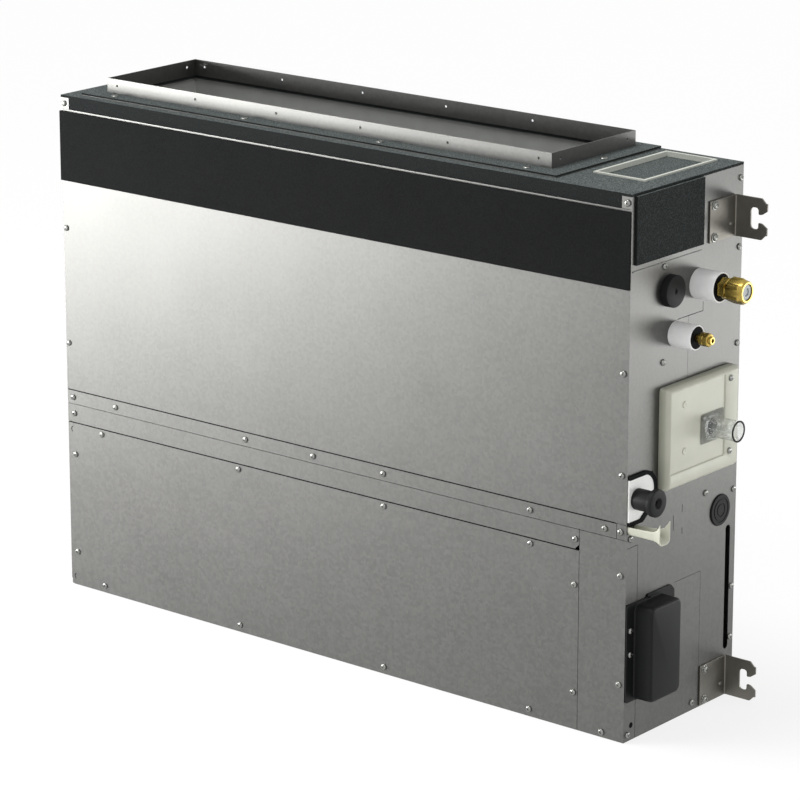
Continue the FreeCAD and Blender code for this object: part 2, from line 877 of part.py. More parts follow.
def fan_wheel(centre):
    """A double-inlet wheel: end rings, blades and a middle disc with its hub."""
    half = wheel_width / 2
    inner = wheel_radius - blade_depth
    start = wheel_disc / 2
    length = half - wheel_ring - start
    parts = [
        drum_x(centre - start, centre + start, fan_axis_y, fan_axis_z, wheel_radius, blade_count),
        drum_x(centre - hub_reach, centre + hub_reach, fan_axis_y, fan_axis_z, hub_radius, 12),
    ]
    for side in (-1, 1):
        low, high = sorted((centre + side * half, centre + side * (half - wheel_ring)))
        ring = drum_x(low, high, fan_axis_y, fan_axis_z, wheel_radius, blade_count)
        parts.append(ring.cut(drum_x(low - 1, high + 1, fan_axis_y, fan_axis_z, inner, blade_count)))
        x0 = centre + start if side > 0 else centre - start - length
        for i in range(blade_count):
            parts.append(blade(x0, length, 360.0 * (i + 0.5) / blade_count))
    grip = shaft_radius / math.cos(math.pi / 12)
    shaft_hole = drum_x(centre - hub_reach - 1, centre + hub_reach + 1, fan_axis_y, fan_axis_z, grip, 12)
    return parts[0].fuse(parts[1:]).cut(shaft_hole)


def fan_wheel_left():
    return fan_wheel(fan_centres[0])


def fan_wheel_right():
    return fan_wheel(fan_centres[1])


def fan_shaft():
    end = fan_pitch + shaft_past_wheel
    return rod_x(fan_centre_x - end, fan_centre_x + end, fan_axis_y, fan_axis_z, shaft_radius)


def fan_motor():
    half = motor_length / 2
    left, right = fan_centre_x - half - boss_length, fan_centre_x + half + boss_length
    drum_body = rod_x(fan_centre_x - half, fan_centre_x + half, fan_axis_y, fan_axis_z, motor_radius)
    bosses = drum_x(left, right, fan_axis_y, fan_axis_z, boss_radius)
    bore = rod_x(left - 1, right + 1, fan_axis_y, fan_axis_z, shaft_radius + running_gap)
    return joined([drum_body, bosses]).cut(bore)


def motor_rings():
    """Rubber rings round the motor's end bosses."""
    rings = []
    for middle in motor_hangers:
        rings.append(sleeve_x(middle - ring_width / 2, middle + ring_width / 2, fan_axis_y, fan_axis_z,
                              boss_radius + ring_thickness, boss_radius))
    return Part.makeCompound(rings)


def motor_bracket():
    """Two hanger plates under the partition that hold the motor by its rubber rings."""
    ring = boss_radius + ring_thickness
    half = ring + hanger_margin
    thin = hanger_sheet / 2
    front, rear = fan_axis_y - half, fan_axis_y + half
    window_half = hanger_window / 2
    window_low = fan_axis_z + half + hanger_margin
    plates = []
    for middle in motor_hangers:
        side = 1 if middle > fan_centre_x else -1
        plate = box(middle - thin, middle + thin, front, rear, fan_axis_z, partition_under)
        eye = drum_x(middle - thin, middle + thin, fan_axis_y, fan_axis_z, half)
        low, high = sorted((middle + side * thin, middle + side * hanger_foot))
        fold = box(low, high, front, rear, partition_under - hanger_sheet, partition_under)
        x0, x1 = middle - hanger_sheet, middle + hanger_sheet
        hole = drum_x(x0, x1, fan_axis_y, fan_axis_z, ring)
        window = box(x0, x1, fan_axis_y - window_half, fan_axis_y + window_half, window_low,
                     partition_under - hanger_foot)
        plates.append(joined([plate, eye, fold]).cut([hole, window]))
    return Part.makeCompound(plates)


# Coil: a leaning slab of fins between two end plates.
coil_run = at(0, coil_high_y - coil_low_y, coil_high_z - coil_low_z)
coil_length = coil_run.Length
coil_up = coil_run * (1 / coil_length)
coil_out = at(0, coil_up.z, -coil_up.y)
coil_rows = circuit_tubes * int(coil_length / (tube_pitch * circuit_tubes))
circuit_starts = range(0, coil_rows, circuit_tubes)


def coil_spot(x, along, across):
    return at(x, coil_low_y, coil_low_z) + coil_up * along + coil_out * across


def coil_fins():
    half = coil_thickness / 2
    points = [coil_spot(coil_left, 0, -half), coil_spot(coil_left, coil_length, -half),
              coil_spot(coil_left, coil_length, half), coil_spot(coil_left, 0, half)]
    return prism(points, X * (coil_right - coil_left))


def coil_end_plates():
    """Full-depth sheets that carry the slab and close the air path beside it."""
    plates = []
    low_z, high_z = pan_low_z + pan_wall + seam, pan_high_z - pan_wall - seam
    for x in (coil_left - end_plate, coil_right):
        plates.append(box(x, x + end_plate, pan_floor_y, inner_y, low_z, high_z))
    return Part.makeCompound(plates)


def tube_spot(x, index, row):
    along = (coil_length - (coil_rows - 1) * tube_pitch) / 2 + index * tube_pitch
    return coil_spot(x, along, row * row_pitch / 2)


def swept(points, radius, sides=6):
    """A thin bar of many-sided section along straight legs, mitred where they meet."""
    path = Part.Wire(Part.makePolygon(points).Edges)
    first = points[1] - points[0]
    first.normalize()
    u = first.cross(coil_up)
    u.normalize()
    v = first.cross(u)
    turns = [2 * math.pi * i / sides for i in range(sides)]
    section = [points[0] + u * (radius * math.cos(a)) + v * (radius * math.sin(a)) for a in turns]
    return path.makePipeShell([polygon(section)], True, False, 1)


def u_bend(first, second, side):
    """A return bend between two tube ends, as half of an octagon."""
    span = (second - first) * 0.5
    centre = first + span
    out = X * (side * span.Length)
    bevel = math.tan(math.pi / 8)
    return swept([first, first + out * bevel, centre - span * bevel + out, centre + span * bevel + out,
                  second + out * bevel, second], tube_radius)


def coil_bends():
    """Hairpin ends on the left. On the right, the bends inside a row, one across the rows for each circuit,
    and the tube ends that the capillaries feed."""
    bends = []
    left = coil_left - end_plate
    right = coil_right + end_plate
    for row in (-1, 1):
        for index in range(0, coil_rows - 1, 2):
            bends.append(u_bend(tube_spot(left, index, row), tube_spot(left, index + 1, row), -1))
        for index in circuit_starts:
            bends.append(u_bend(tube_spot(right, index + 1, row), tube_spot(right, index + 2, row), 1))
    for index in circuit_starts:
        bends.append(u_bend(tube_spot(right, index + 3, -1), tube_spot(right, index + 3, 1), 1))
        bends.append(drum(tube_spot(right, index, 1), X, tube_radius, tube_stub, 6))
    return Part.makeCompound(bends)


header_x = coil_right + header_offset
header_foot = coil_spot(header_x, 0, -row_pitch / 2)
header_to_gas = (gas_z - header_foot.z) / coil_up.z
gas_y = header_foot.y + coil_up.y * header_to_gas
header_to_liquid = (liquid_z - header_foot.z) / coil_up.z
liquid_y = header_foot.y + coil_up.y * header_to_liquid - liquid_before_header


def gas_header():
    """The manifold that gathers the gas from the coil, with its inlet stubs."""
    low = tube_spot(header_x, 0, -1) - coil_up * header_end
    top = header_foot + coil_up * (header_to_gas + header_past_gas)
    right = coil_right + end_plate
    parts = [drum(low, coil_up, header_radius, (top - low).Length, 12)]
    for index in circuit_starts:
        parts.append(drum(tube_spot(right, index, -1), X, tube_radius, header_x - right, 8))
    return joined(parts)


def gas_pipe():
    start = header_x + header_radius * math.cos(math.pi / 12)
    end = half_width + gas_end - gas_union_length + gas_union_hexagon / 2
    outer = drum_x(start, end, gas_y, gas_z, gas_pipe_radius, 12)
    return outer.cut(drum_x(start - 1, end + 1, gas_y, gas_z, gas_pipe_radius - sheet, 12))


def distributor():
    """Brass cone that feeds the coil circuits through thin capillaries."""
    x1 = half_width - distributor_inset
    x0 = x1 - distributor_length
    parts = [Part.makeCone(distributor_radius, distributor_radius / 2, x1 - x0,
                           at(x0, liquid_y, liquid_z), X)]
    right = coil_right + end_plate
    offset = at(0, liquid_y - coil_low_y, liquid_z - coil_low_z).dot(coil_out)
    for i, index in enumerate(circuit_starts):
        start = at(x0, liquid_y, liquid_z) + coil_up * ((i - 1) * capillary_pitch)
        goal = tube_spot(right + tube_stub, index, 1)
        along = (goal - at(0, coil_low_y, coil_low_z)).dot(coil_up) + tube_pitch / 2
        near = coil_spot(right + capillary_clear, along, offset)
        over = coil_spot(right + capillary_clear, along, row_pitch / 2)
        lead = start - X * capillary_lead
        parts.append(swept([start, lead, near, over, goal + X * tube_stub, goal], capillary_radius))
    return Part.makeCompound(parts)


def liquid_pipe():
    start = half_width - distributor_inset
    end = half_width + liquid_sleeve_length + tube_stub
    return drum_x(start, end, liquid_y, liquid_z, liquid_pipe_radius, 12)


def pipe_sleeves():
    gas = sleeve_x(half_width, half_width + gas_sleeve_length, gas_y, gas_z, gas_sleeve_radius,
                   gas_sleeve_radius - sleeve_skin)
    liquid = sleeve_x(half_width, half_width + liquid_sleeve_length, liquid_y, liquid_z, liquid_sleeve_radius,
                      liquid_sleeve_radius - sleeve_skin)
    return Part.makeCompound([gas, liquid])


def sleeve_cores():
    """Foam between each sleeve's skin and its pipe."""
    cores = []
    for y, z, outer, inner, length in (
        (gas_y, gas_z, gas_sleeve_radius, gas_pipe_radius, gas_sleeve_length),
        (liquid_y, liquid_z, liquid_sleeve_radius, liquid_pipe_radius, liquid_sleeve_length),
    ):
        end = half_width + length - seam
        body = drum_x(half_width, end, y, z, outer - sleeve_skin)
        cores.append(body.cut(drum_x(half_width - 1, end + 1, y, z, inner, 12)))
    return Part.makeCompound(cores)


def gas_union():
    """Hexagon body brazed to the gas pipe, with the neck that the flare nut turns on."""
    end = half_width + gas_end
    start = end - gas_union_length
    hexagon = hexagon_x(start, start + gas_union_hexagon, gas_y, gas_z, gas_union_across)
    neck = drum_x(start + gas_union_hexagon, end - gas_plug_depth, gas_y, gas_z, gas_neck_radius)
    bore = drum_x(start - 1, end, gas_y, gas_z, gas_pipe_radius, 12)
    return joined([hexagon, neck]).cut(bore)


def gas_flare_nut():
    """Flare nut: a round shank and a hexagon with its corners turned off at the mouth."""
    end = half_width + gas_end
    start = end - gas_nut_length
    step = end - gas_nut_hexagon
    corner = gas_nut_across / 2 / math.cos(math.pi / 6)
    blank = hexagon_x(step, end, gas_y, gas_z, gas_nut_across)
    cone = Part.makeCone(corner + gas_nut_hexagon / 3, corner - gas_nut_hexagon / 3, gas_nut_hexagon,
                         at(step, gas_y, gas_z), X)
    shank = drum_x(start, step, gas_y, gas_z, gas_nut_across / 2)
    bore = drum_x(start - 1, end + 1, gas_y, gas_z, gas_neck_radius)
    return joined([blank.common(cone), shank]).cut(bore)


def gas_plug():
    end = half_width + gas_end
    return drum_x(end - gas_plug_depth, end - gas_plug_sunk, gas_y, gas_z, gas_neck_radius)


def liquid_fitting():
    """Small flare union with its nut."""
    end = half_width + liquid_end
    start = end - liquid_union_length
    step = liquid_union_length / 6
    neck = drum_x(start, end, liquid_y, liquid_z, liquid_neck_radius, 12)
    nut = hexagon_x(start + step, end - step, liquid_y, liquid_z, liquid_across)
    bore = drum_x(start - 1, end - step, liquid_y, liquid_z, liquid_pipe_radius, 12)
    return joined([neck, nut]).cut(bore)


# Drain: pan under the coil, its spigot at the pipe side, the pump and its outlet.
def pan_outline(grow):
    """The spigot block's outline on the pipe side, rounded at the back and cut off below."""
    y0 = -inner_y
    y1 = block_back + grow
    low = block_low - grow
    high = block_high + grow
    radius = block_radius + grow
    slope_y = y1 - block_slope_y
    slope_z = low + block_slope_z
    x = inner_x - sheet
    bow = radius * (1 - math.cos(math.pi / 4))
    arc_mid = at(x, y1 - bow, high - bow)
    edges = [
        Part.LineSegment(at(x, y0, low), at(x, slope_y, low)),
        Part.LineSegment(at(x, slope_y, low), at(x, y1, slope_z)),
        Part.LineSegment(at(x, y1, slope_z), at(x, y1, high - radius)),
        Part.Arc(at(x, y1, high - radius), arc_mid, at(x, y1 - radius, high)),
        Part.LineSegment(at(x, y1 - radius, high), at(x, y0, high)),
        Part.LineSegment(at(x, y0, high), at(x, y0, low)),
    ]
    return Part.Face(Part.Wire([edge.toShape() for edge in edges]))


def drain_pan():
    y0 = -inner_y + pan_front_gap
    right = inner_x - seam
    outer = box(pan_left, right, y0, y0 + pan_depth, pan_low_z, pan_high_z)
    inner = box(pan_left + pan_wall, right - pan_wall, y0 + pan_wall, y0 + pan_depth + 1,
                pan_low_z + pan_wall,
                pan_high_z - pan_wall)
    start = inner_x - sheet
    block = pan_outline(-fit).extrude(X * (half_width + block_proud - start))
    end = half_width + block_proud + drain_stub_length
    stub = drum_x(start, end, drain_y, drain_z, drain_stub_radius)
    bore = drum_x(right - pan_wall - 1, end + 1, drain_y, drain_z, drain_stub_radius - drain_wall, 12)
    return joined([outer.cut(inner), block, stub]).cut(bore)


def pan_gasket():
    """Black foam band round the spigot block."""
    outer = pan_outline(gasket_width).extrude(X * (half_width + gasket_proud - inner_x + sheet))
    inner = pan_outline(0).extrude(X * (half_width + gasket_proud))
    keep = box(half_width, half_width + gasket_proud + 1, -half_depth, half_depth, 0, casing_height)
    return outer.cut(inner).common(keep)


def drain_plug():
    """Rubber stopper pushed over the drain spigot."""
    start = half_width + block_proud
    end = half_width + plug_length
    barrel = drum_x(start, end, drain_y, drain_z, plug_radius)
    disc = drum_x(end - plug_flange, end, drain_y, drain_z, plug_flange_radius)
    socket = drum_x(start - 1, start + drain_stub_length, drain_y, drain_z, drain_stub_radius)
    vent = drum_x(start, end + 1, drain_y, drain_z, vent_radius, 8)
    return joined([barrel, disc]).cut([socket, vent])


def drip_spout():
    """Open trough under the drain, flared at its mouth."""
    y0 = -half_depth + sheet
    y1 = y0 + spout_width
    end = half_width + spout_length
    stations = [(half_width, 0, 0), (end - spout_mouth, 0, spout_spread), (end, spout_spread, spout_flare)]

    def section(x, grow, top, wall):
        low = spout_low_z - grow + wall
        left, right = y0 - grow + wall, y1 + grow - wall
        return polygon([at(x, left, low), at(x, right, low), at(x, right, top), at(x, left, top)])

    outside = [section(x, grow, spout_high_z + rise, 0) for x, grow, rise in stations]
    inside = [section(x, grow, spout_high_z + rise + spout_width, spout_wall) for x, grow, rise in stations]
    shell = Part.makeLoft(outside, True, True).cut(Part.makeLoft(inside, True, True))
    back = box(half_width, half_width + spout_wall, y0, y1 + spout_mouth, spout_low_z, spout_high_z)
    return joined([shell, back])


def pump_cover():
    """Raised plastic lid over the drain pump, open at its back."""
    face = half_width + cover_height
    outer = rounded_prism((cover_low_y, cover_low_z), (cover_high_y, cover_high_z), cover_corner,
                          at(half_width, 0, 0), X * cover_height, (Y, Z))
    inner = box(half_width - 1, face - cover_wall - field_depth, cover_low_y + cover_wall,
                cover_high_y - cover_wall, cover_low_z + cover_wall, cover_high_z - cover_wall)
    field = box(face - field_depth, face + 1, cover_low_y + field_edge, cover_high_y - field_from_back,
                cover_low_z + field_above, cover_high_z - field_below)
    window = drum_x(half_width, face + 1, socket_y, socket_z, socket_bore)
    return outer.cut([inner, field, window])


def pump_socket():
    """Clear outlet: a square plate on the cover with a tube for the drain hose."""
    face = half_width + cover_height - field_depth
    plate = box(face, face + socket_plate, socket_y - socket_plate_y / 2, socket_y + socket_plate_y / 2,
                socket_z - socket_plate_z / 2, socket_z + socket_plate_z / 2)
    tube = rod_x(face, face + socket_plate + socket_length, socket_y, socket_z, socket_radius)
    bore = drum_x(face - 1, face + socket_plate + socket_length + 1, socket_y, socket_z, socket_bore)
    return joined([plate, tube]).cut(bore)


def drain_pump():
    """Motor can, volute and suction pipe on a shelf from the side plate, with a riser to the outlet."""
    motor_end = volute_high_y + pump_motor_length
    can = drum_y(volute_high_y, motor_end, pump_x, pump_z, pump_motor_radius)
    volute = drum_y(volute_low_y, volute_high_y, pump_x, pump_z, volute_radius)
    suction = drum_y(suction_end_y, volute_low_y, pump_x, pump_z, suction_radius, 8)
    riser_x = inner_x - riser_clear - riser_radius
    feed_y = (volute_low_y + volute_high_y) / 2
    feed = drum_x(pump_x, riser_x, feed_y, pump_z, riser_radius, 8)
    riser = drum_y(feed_y - riser_radius - 1, socket_y + riser_radius + 1, riser_x, pump_z, riser_radius, 8)
    outlet_end = half_width + cover_height - cover_wall - field_depth - 1
    outlet = drum_x(riser_x, outlet_end, socket_y, pump_z, riser_radius, 8)
    shelf_y = volute_high_y - shelf_sheet
    shelf_low, shelf_high = pump_z - shelf_half, pump_z + shelf_half
    shelf = box(pump_x - shelf_reach, inner_x, shelf_y, volute_high_y, shelf_low, shelf_high)
    body = joined([can, volute, suction, feed, riser, outlet, shelf])
    roof_y = shelf_y - volute_wall
    floor_y = volute_low_y + volute_wall
    chamber = drum_y(floor_y, roof_y, pump_x, pump_z, volute_radius - volute_wall)
    inlet = drum_y(suction_end_y - 1, floor_y + 1, pump_x, pump_z, suction_radius - suction_wall, 8)
    bore = rod_y(roof_y - 1, motor_end - shelf_sheet - 1, pump_x, pump_z, impeller_shaft + running_gap)
    return body.cut([chamber, inlet, bore])


def pump_impeller():
    start = volute_low_y + volute_wall + impeller_clear + impeller_disc
    end = start + impeller_depth
    disc = drum_y(end, end + impeller_disc, pump_x, pump_z, impeller_radius)
    shaft_end = volute_high_y + pump_motor_length - 2 * shelf_sheet - impeller_disc
    shaft = rod_y(start, shaft_end, pump_x, pump_z, impeller_shaft)
    thin = vane_sheet / 2
    vanes = []
    for i in range(impeller_vanes):
        vane = box(pump_x, pump_x + impeller_radius - 1, start, end, pump_z - thin, pump_z + thin)
        vane.rotate(at(pump_x, 0, pump_z), Y, 360.0 * (i + 0.25) / impeller_vanes)
        vanes.append(vane)
    return joined([disc, shaft] + vanes)


def float_switch():
    """Stem with a stop at its foot, hung from the pump's shelf."""
    head = volute_high_y - shelf_sheet
    foot = pan_floor_y + float_clear
    stem = rod_y(foot, head, float_x, float_z, float_stem)
    stop = drum_y(foot, foot + float_stop, float_x, float_z, float_stem + float_stop, 8)
    cap = drum_y(head - float_cap, head, float_x, float_z, float_stem + 2 * float_stop, 8)
    return joined([stem, stop, cap])


def float_ring():
    start = pan_floor_y + float_clear + float_stop + float_gap
    body = drum_y(start, start + float_height, float_x, float_z, float_radius, 12)
    bore = rod_y(start - 1, start + float_height + 1, float_x, float_z, float_stem + running_gap)
    return body.cut(bore)


# Rubber parts and the wiring cover on the pipe side.
def cable_plug():
    neck_start = inner_x - neck_depth
    disc = drum_x(half_width, half_width + cable_plug_height, cable_plug_y, cable_plug_z,
                  cable_plug_radius, 20)
    neck = drum_x(neck_start, half_width, cable_plug_y, cable_plug_z, cable_plug_radius * neck_share, 12)
    hole = drum_x(neck_start - 1, half_width + cable_plug_height + 1, cable_plug_y, cable_plug_z,
                  cable_hole, 8)
    return joined([disc, neck]).cut(hole)


def grommet():
    disc = drum_x(half_width, half_width + grommet_height, grommet_y, grommet_z, grommet_radius, 20)
    neck = drum_x(inner_x - neck_depth, half_width, grommet_y, grommet_z, grommet_radius * neck_share, 12)
    return joined([disc, neck])


def wiring_cover():
    """Deep plastic cap over the cable entry, with a foot towards the front and an ear at the back."""
    start = at(half_width, 0, 0)
    face = half_width + wiring_height
    cap = rounded_prism((wiring_low_y, wiring_low_z), (wiring_high_y, wiring_high_z), wiring_corner, start,
                        X * wiring_height, (Y, Z))
    rim = [e for e in cap.Edges if all(abs(v.X - face) < 0.01 for v in e.Vertexes)]
    cap = cap.makeChamfer(wiring_edge, rim)
    rim_top = wiring_high_z + wiring_edge
    foot = box(half_width, half_width + wiring_wall, wiring_low_y - wiring_foot, wiring_low_y + wiring_corner,
               wiring_low_z, rim_top)
    top = wiring_high_z + wiring_ear_rise
    low = top - wiring_ear_height
    front = wiring_high_y - wiring_ear_overlap
    back = wiring_high_y + wiring_ear
    ear_points = [at(half_width, front, low), at(half_width, back, low),
                  at(half_width, back, top - wiring_ear_corner),
                  at(half_width, back - wiring_ear_corner, top),
                  at(half_width, front, top)]
    ear = prism(ear_points, X * wiring_wall)
    wall = 2 * wiring_wall
    hollow = box(half_width - 1, face - wiring_wall, wiring_low_y + wall, wiring_high_y - wall,
                 wiring_low_z + wall, wiring_high_z - wall)
    return joined([cap, foot, ear]).cut(hollow)


# Electrical compartment behind the control box cover.
def control_box():
    right = inner_x - fit
    front = -inner_y + fit
    left = box(cover_left, cover_left + sheet, front, inner_y - fit, box_low_z, box_high_z)
    back = box(cover_left, right, box_depth_y, box_depth_y + sheet, box_low_z, box_high_z)
    top = box(cover_left, right, front + sheet, box_depth_y, box_high_z - sheet, box_high_z)
    bottom = box(cover_left, right, front + sheet, box_depth_y, box_low_z, box_low_z + sheet)
    return joined([left, back, top, bottom])


def circuit_board():
    """Board on spacers with its transformer, relays, capacitors and connectors."""
    back = cover_left + sheet
    x = back + board_standoff
    face = x + board_sheet
    front, rear = -half_depth + board_from_front, box_depth_y - board_from_back
    low, high = board_low, box_high_z - board_below_top
    parts = [box(x, face, front, rear, low, high)]
    for y in (front + board_margin, rear - board_margin):
        for z in (low + board_margin, high - board_margin):
            parts.append(drum_x(back, x, y, z, standoff_radius, 6))
    y = front + board_inset
    z = high - transformer_below - transformer_side
    parts.append(box(face, face + transformer_height, y, y + transformer_side, z, z + transformer_side))
    pitch = (rear - front - board_inset) / relay_count
    z = low + transformer_below
    for i in range(relay_count):
        start = y + i * pitch
        parts.append(box(face, face + relay_height, start, start + relay_width, z, z + relay_length))
    y = rear - board_margin - connector_width
    for i in range(connector_count):
        z = low + connector_start + i * connector_pitch
        parts.append(box(face, face + connector_height, y, y + connector_width, z, z + connector_length))
    for i in range(2):
        z = low + capacitor_low + i * capacitor_pitch
        y = front + capacitor_from_front
        parts.append(drum_x(face, face + capacitor_height, y, z, capacitor_radius, 12))
    return joined(parts)


def terminal_block():
    """Barrier block on the back wall of the control box."""
    left, right = cover_left + terminal_inset, inner_x - terminal_inset
    front = box_depth_y - terminal_depth
    body = box(left, right, front, box_depth_y, terminal_low, terminal_high)
    pitch = (right - left) / terminal_count
    pockets = []
    for i in range(terminal_count):
        x0 = left + i * pitch + terminal_wall
        x1 = left + (i + 1) * pitch - terminal_wall
        pockets.append(box(x0, x1, front - 1, front + terminal_pocket, terminal_low + terminal_edge,
                           terminal_high - terminal_edge))
    return body.cut(pockets)


# Air return at the standing end.
def intake_frame():
    """The casing's end plate with the return opening, and the rails that the filter lies in."""
    plate = box(-inner_x + fit, inner_x - fit, -inner_y, inner_y - fit, 0, sheet)
    cuts = [box(return_left, return_right, -return_half_depth, return_half_depth, -1, sheet + 1)]
    for side in (-1, 1):
        x0, x1 = sorted((side * flange_end, side * half_width))
        cuts.append(box(x0, x1, -half_depth, -inner_y + sheet + fit, -1, sheet + 1))
        cuts.append(box(x0, x1, inner_y - sheet - fit, half_depth, -1, sheet + 1))
    rails = []
    edge = return_half_depth + filter_border
    wall = edge + fit + sheet
    top = sheet + filter_height + fit
    for side in (-1, 1):
        low, high = sorted((side * (edge + fit), side * wall))
        rails.append(box(return_left, return_right, low, high, sheet, top + sheet))
        low, high = sorted((side * (edge - rail_lip), side * wall))
        rails.append(box(return_left, return_right, low, high, top, top + sheet))
    return joined([plate.cut(cuts)] + rails)


def air_filter():
    """A frame with thin ribs that carries the mesh, lying in the return's rails."""
    x0, x1 = return_left - filter_overlap, return_right + filter_overlap
    edge = return_half_depth + filter_border
    top = sheet + filter_height
    hole = box(x0 + filter_bar, x1 - filter_bar, -edge + filter_bar, edge - filter_bar, 0, top + 1)
    frame = box(x0, x1, -edge, edge, sheet, top).cut(hole)
    mesh_z = sheet + filter_mesh_rise
    inside = edge - filter_groove
    mesh = box(x0 + filter_groove, x1 - filter_groove, -inside, inside, mesh_z, mesh_z + filter_mesh)
    ribs = []
    half = filter_rib_width / 2
    low, high = mesh_z + filter_mesh / 2, mesh_z + filter_rib_height
    for i in range(filter_ribs):
        x = x0 + (x1 - x0) * (i + 1) / (filter_ribs + 1)
        ribs.append(box(x - half, x + half, -inside, inside, low, high))
    return joined([frame, mesh] + ribs)


pieces = [
    left_side_plate, right_side_plate, back_panel,
    front_upper_panel, fan_partition, front_rail, front_lower_panel, control_box_cover,
    top_plate, outlet_collar, collar_foam_sheet, top_foam, port_frame, outlet_liner,
    front_foam_band, side_foams,
    hanger_brackets_right, hanger_brackets_left,
    scroll_uppers, scroll_lowers, fan_wheel_left, fan_wheel_right, fan_shaft,
    fan_motor, motor_rings, motor_bracket,
    coil_fins, coil_end_plates, coil_bends, gas_header, gas_pipe, distributor, liquid_pipe,
    pipe_sleeves, sleeve_cores, gas_union, gas_flare_nut, gas_plug, liquid_fitting,
    drain_pan, pan_gasket, drain_plug, drip_spout,
    pump_cover, pump_socket, drain_pump, pump_impeller, float_switch, float_ring,
    cable_plug, grommet, wiring_cover,
    control_box, circuit_board, terminal_block,
    intake_frame, air_filter,
]

os.makedirs("parts", exist_ok=True)
for piece in pieces:
    shape = piece()
    shape.exportStep(os.path.join("parts", piece.__name__ + ".step"))
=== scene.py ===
import math

import bmesh
import bpy
from mathutils import Matrix, Vector


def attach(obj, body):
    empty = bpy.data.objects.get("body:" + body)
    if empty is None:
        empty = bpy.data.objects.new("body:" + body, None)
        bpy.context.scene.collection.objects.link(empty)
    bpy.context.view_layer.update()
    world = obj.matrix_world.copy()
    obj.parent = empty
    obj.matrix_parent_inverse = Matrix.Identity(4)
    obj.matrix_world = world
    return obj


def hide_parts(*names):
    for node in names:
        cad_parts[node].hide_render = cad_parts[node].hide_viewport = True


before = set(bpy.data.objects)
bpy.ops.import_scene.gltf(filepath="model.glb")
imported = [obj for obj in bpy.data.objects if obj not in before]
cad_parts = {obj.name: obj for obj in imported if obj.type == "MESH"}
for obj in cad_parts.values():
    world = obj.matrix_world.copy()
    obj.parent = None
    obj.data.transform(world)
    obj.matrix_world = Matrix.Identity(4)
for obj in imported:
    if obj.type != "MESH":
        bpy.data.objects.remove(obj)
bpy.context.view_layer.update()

# The casing: flat sheets of hot-dip galvanised steel, cut, folded at the edges and screwed together.
# Each panel is a sheet of its own, with a hair of dark gap where it meets the next, and bright cut edges.
half_width = 422.5
half_depth = 105.0


def linear(code):
    """An sRGB hex colour as the linear numbers that a shader takes."""
    parts = [int(code[i:i + 2], 16) / 255 for i in (1, 3, 5)]
    return [c / 12.92 if c <= 0.04045 else ((c + 0.055) / 1.055) ** 2.4 for c in parts] + [1.0]


def add(tree, kind, inputs, **settings):
    """Adds a node. An input takes a number, a hex colour, a socket, or a node, for its first live output."""
    made = tree.nodes.new("ShaderNode" + kind)
    for name, value in settings.items():
        setattr(made, name, value)
    for name, value in inputs.items():
        if isinstance(value, str):
            value = linear(value)
        if isinstance(value, bpy.types.Node):
            value = next(socket for socket in value.outputs if socket.enabled)
        if isinstance(value, bpy.types.NodeSocket):
            tree.links.new(value, made.inputs[name])
        else:
            made.inputs[name].default_value = value
    return made


def new_finish(name):
    """An empty material, and the tree that its nodes go in."""
    made = bpy.data.materials.new(name)
    made.use_nodes = True
    made.node_tree.nodes.clear()
    return made, made.node_tree


def round_edges(piece, width):
    """Rounds a piece's sharp edges by so many millimetres."""
    flat = piece.modifiers.new("flat", "DECIMATE")
    flat.decimate_type = "DISSOLVE"
    flat.angle_limit = math.radians(0.5)
    soft = piece.modifiers.new("edges", "BEVEL")
    soft.width = width * 0.001
    soft.segments = 2
    soft.angle_limit = math.radians(35)
    soft.harden_normals = True


def dress(names, finish, edge=0.0):
    """Gives CAD pieces their finish and, where asked, rounded edges."""
    for name in names:
        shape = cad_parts[name]
        shape.data.materials.clear()
        shape.data.materials.append(finish)
        if edge:
            round_edges(shape, edge)


# Galvanised steel, hot dipped and rolled: a grey metal, half matt, with faint zinc grains 3.5 mm wide, cloudy
# patches a hand wide, and streaks along the way it was rolled.
galvanised, tree = new_finish("galvanised_steel_hot_dipped")
place = add(tree, "TexCoord", {}).outputs["Object"]
grains = add(tree, "TexVoronoi", {"Vector": place, "Scale": 1000 / 3.5})
grain_tone = add(tree, "SeparateColor", {"Color": grains.outputs["Color"]})
clouds = add(tree, "TexNoise", {"Vector": place, "Scale": 1000 / 90.0, "Detail": 4.0})
stretch = add(tree, "Mapping", {"Vector": place, "Scale": (1.0, 1.0, 0.03)})
streaks = add(tree, "TexNoise", {"Vector": stretch, "Scale": 1000 / 5.0, "Detail": 3.0})
tone = add(tree, "Mix", {"Factor": clouds, 6: "#5f5f5d", 7: "#676765"}, data_type="RGBA")
grain_share = add(tree, "MapRange", {"Value": grain_tone, "To Min": 0.0, "To Max": 0.14})
tone = add(tree, "Mix", {"Factor": grain_share, 6: tone, 7: "#8b8a87"}, data_type="RGBA")
streak_share = add(tree, "MapRange", {"Value": streaks, "To Min": 0.0, "To Max": 0.16})
tone = add(tree, "Mix", {"Factor": streak_share, 6: tone, 7: "#525352"}, data_type="RGBA")
matt = add(tree, "MapRange", {"Value": grain_tone, "To Min": 0.42, "To Max": 0.46})
relief = add(tree, "Math", {0: grain_tone, 1: streaks}, operation="ADD")
bump = add(tree, "Bump", {"Height": relief, "Strength": 0.012, "Distance": 0.0004})
shader = add(tree, "BsdfPrincipled", {"Base Color": tone, "Metallic": 1.0, "Roughness": matt, "Normal": bump})
add(tree, "OutputMaterial", {"Surface": shader})

dress(["left_side_plate", "right_side_plate", "back_panel", "front_upper_panel", "fan_partition",
       "front_rail", "front_lower_panel", "control_box_cover", "top_plate", "intake_frame",
       "coil_end_plates"], galvanised, 0.3)

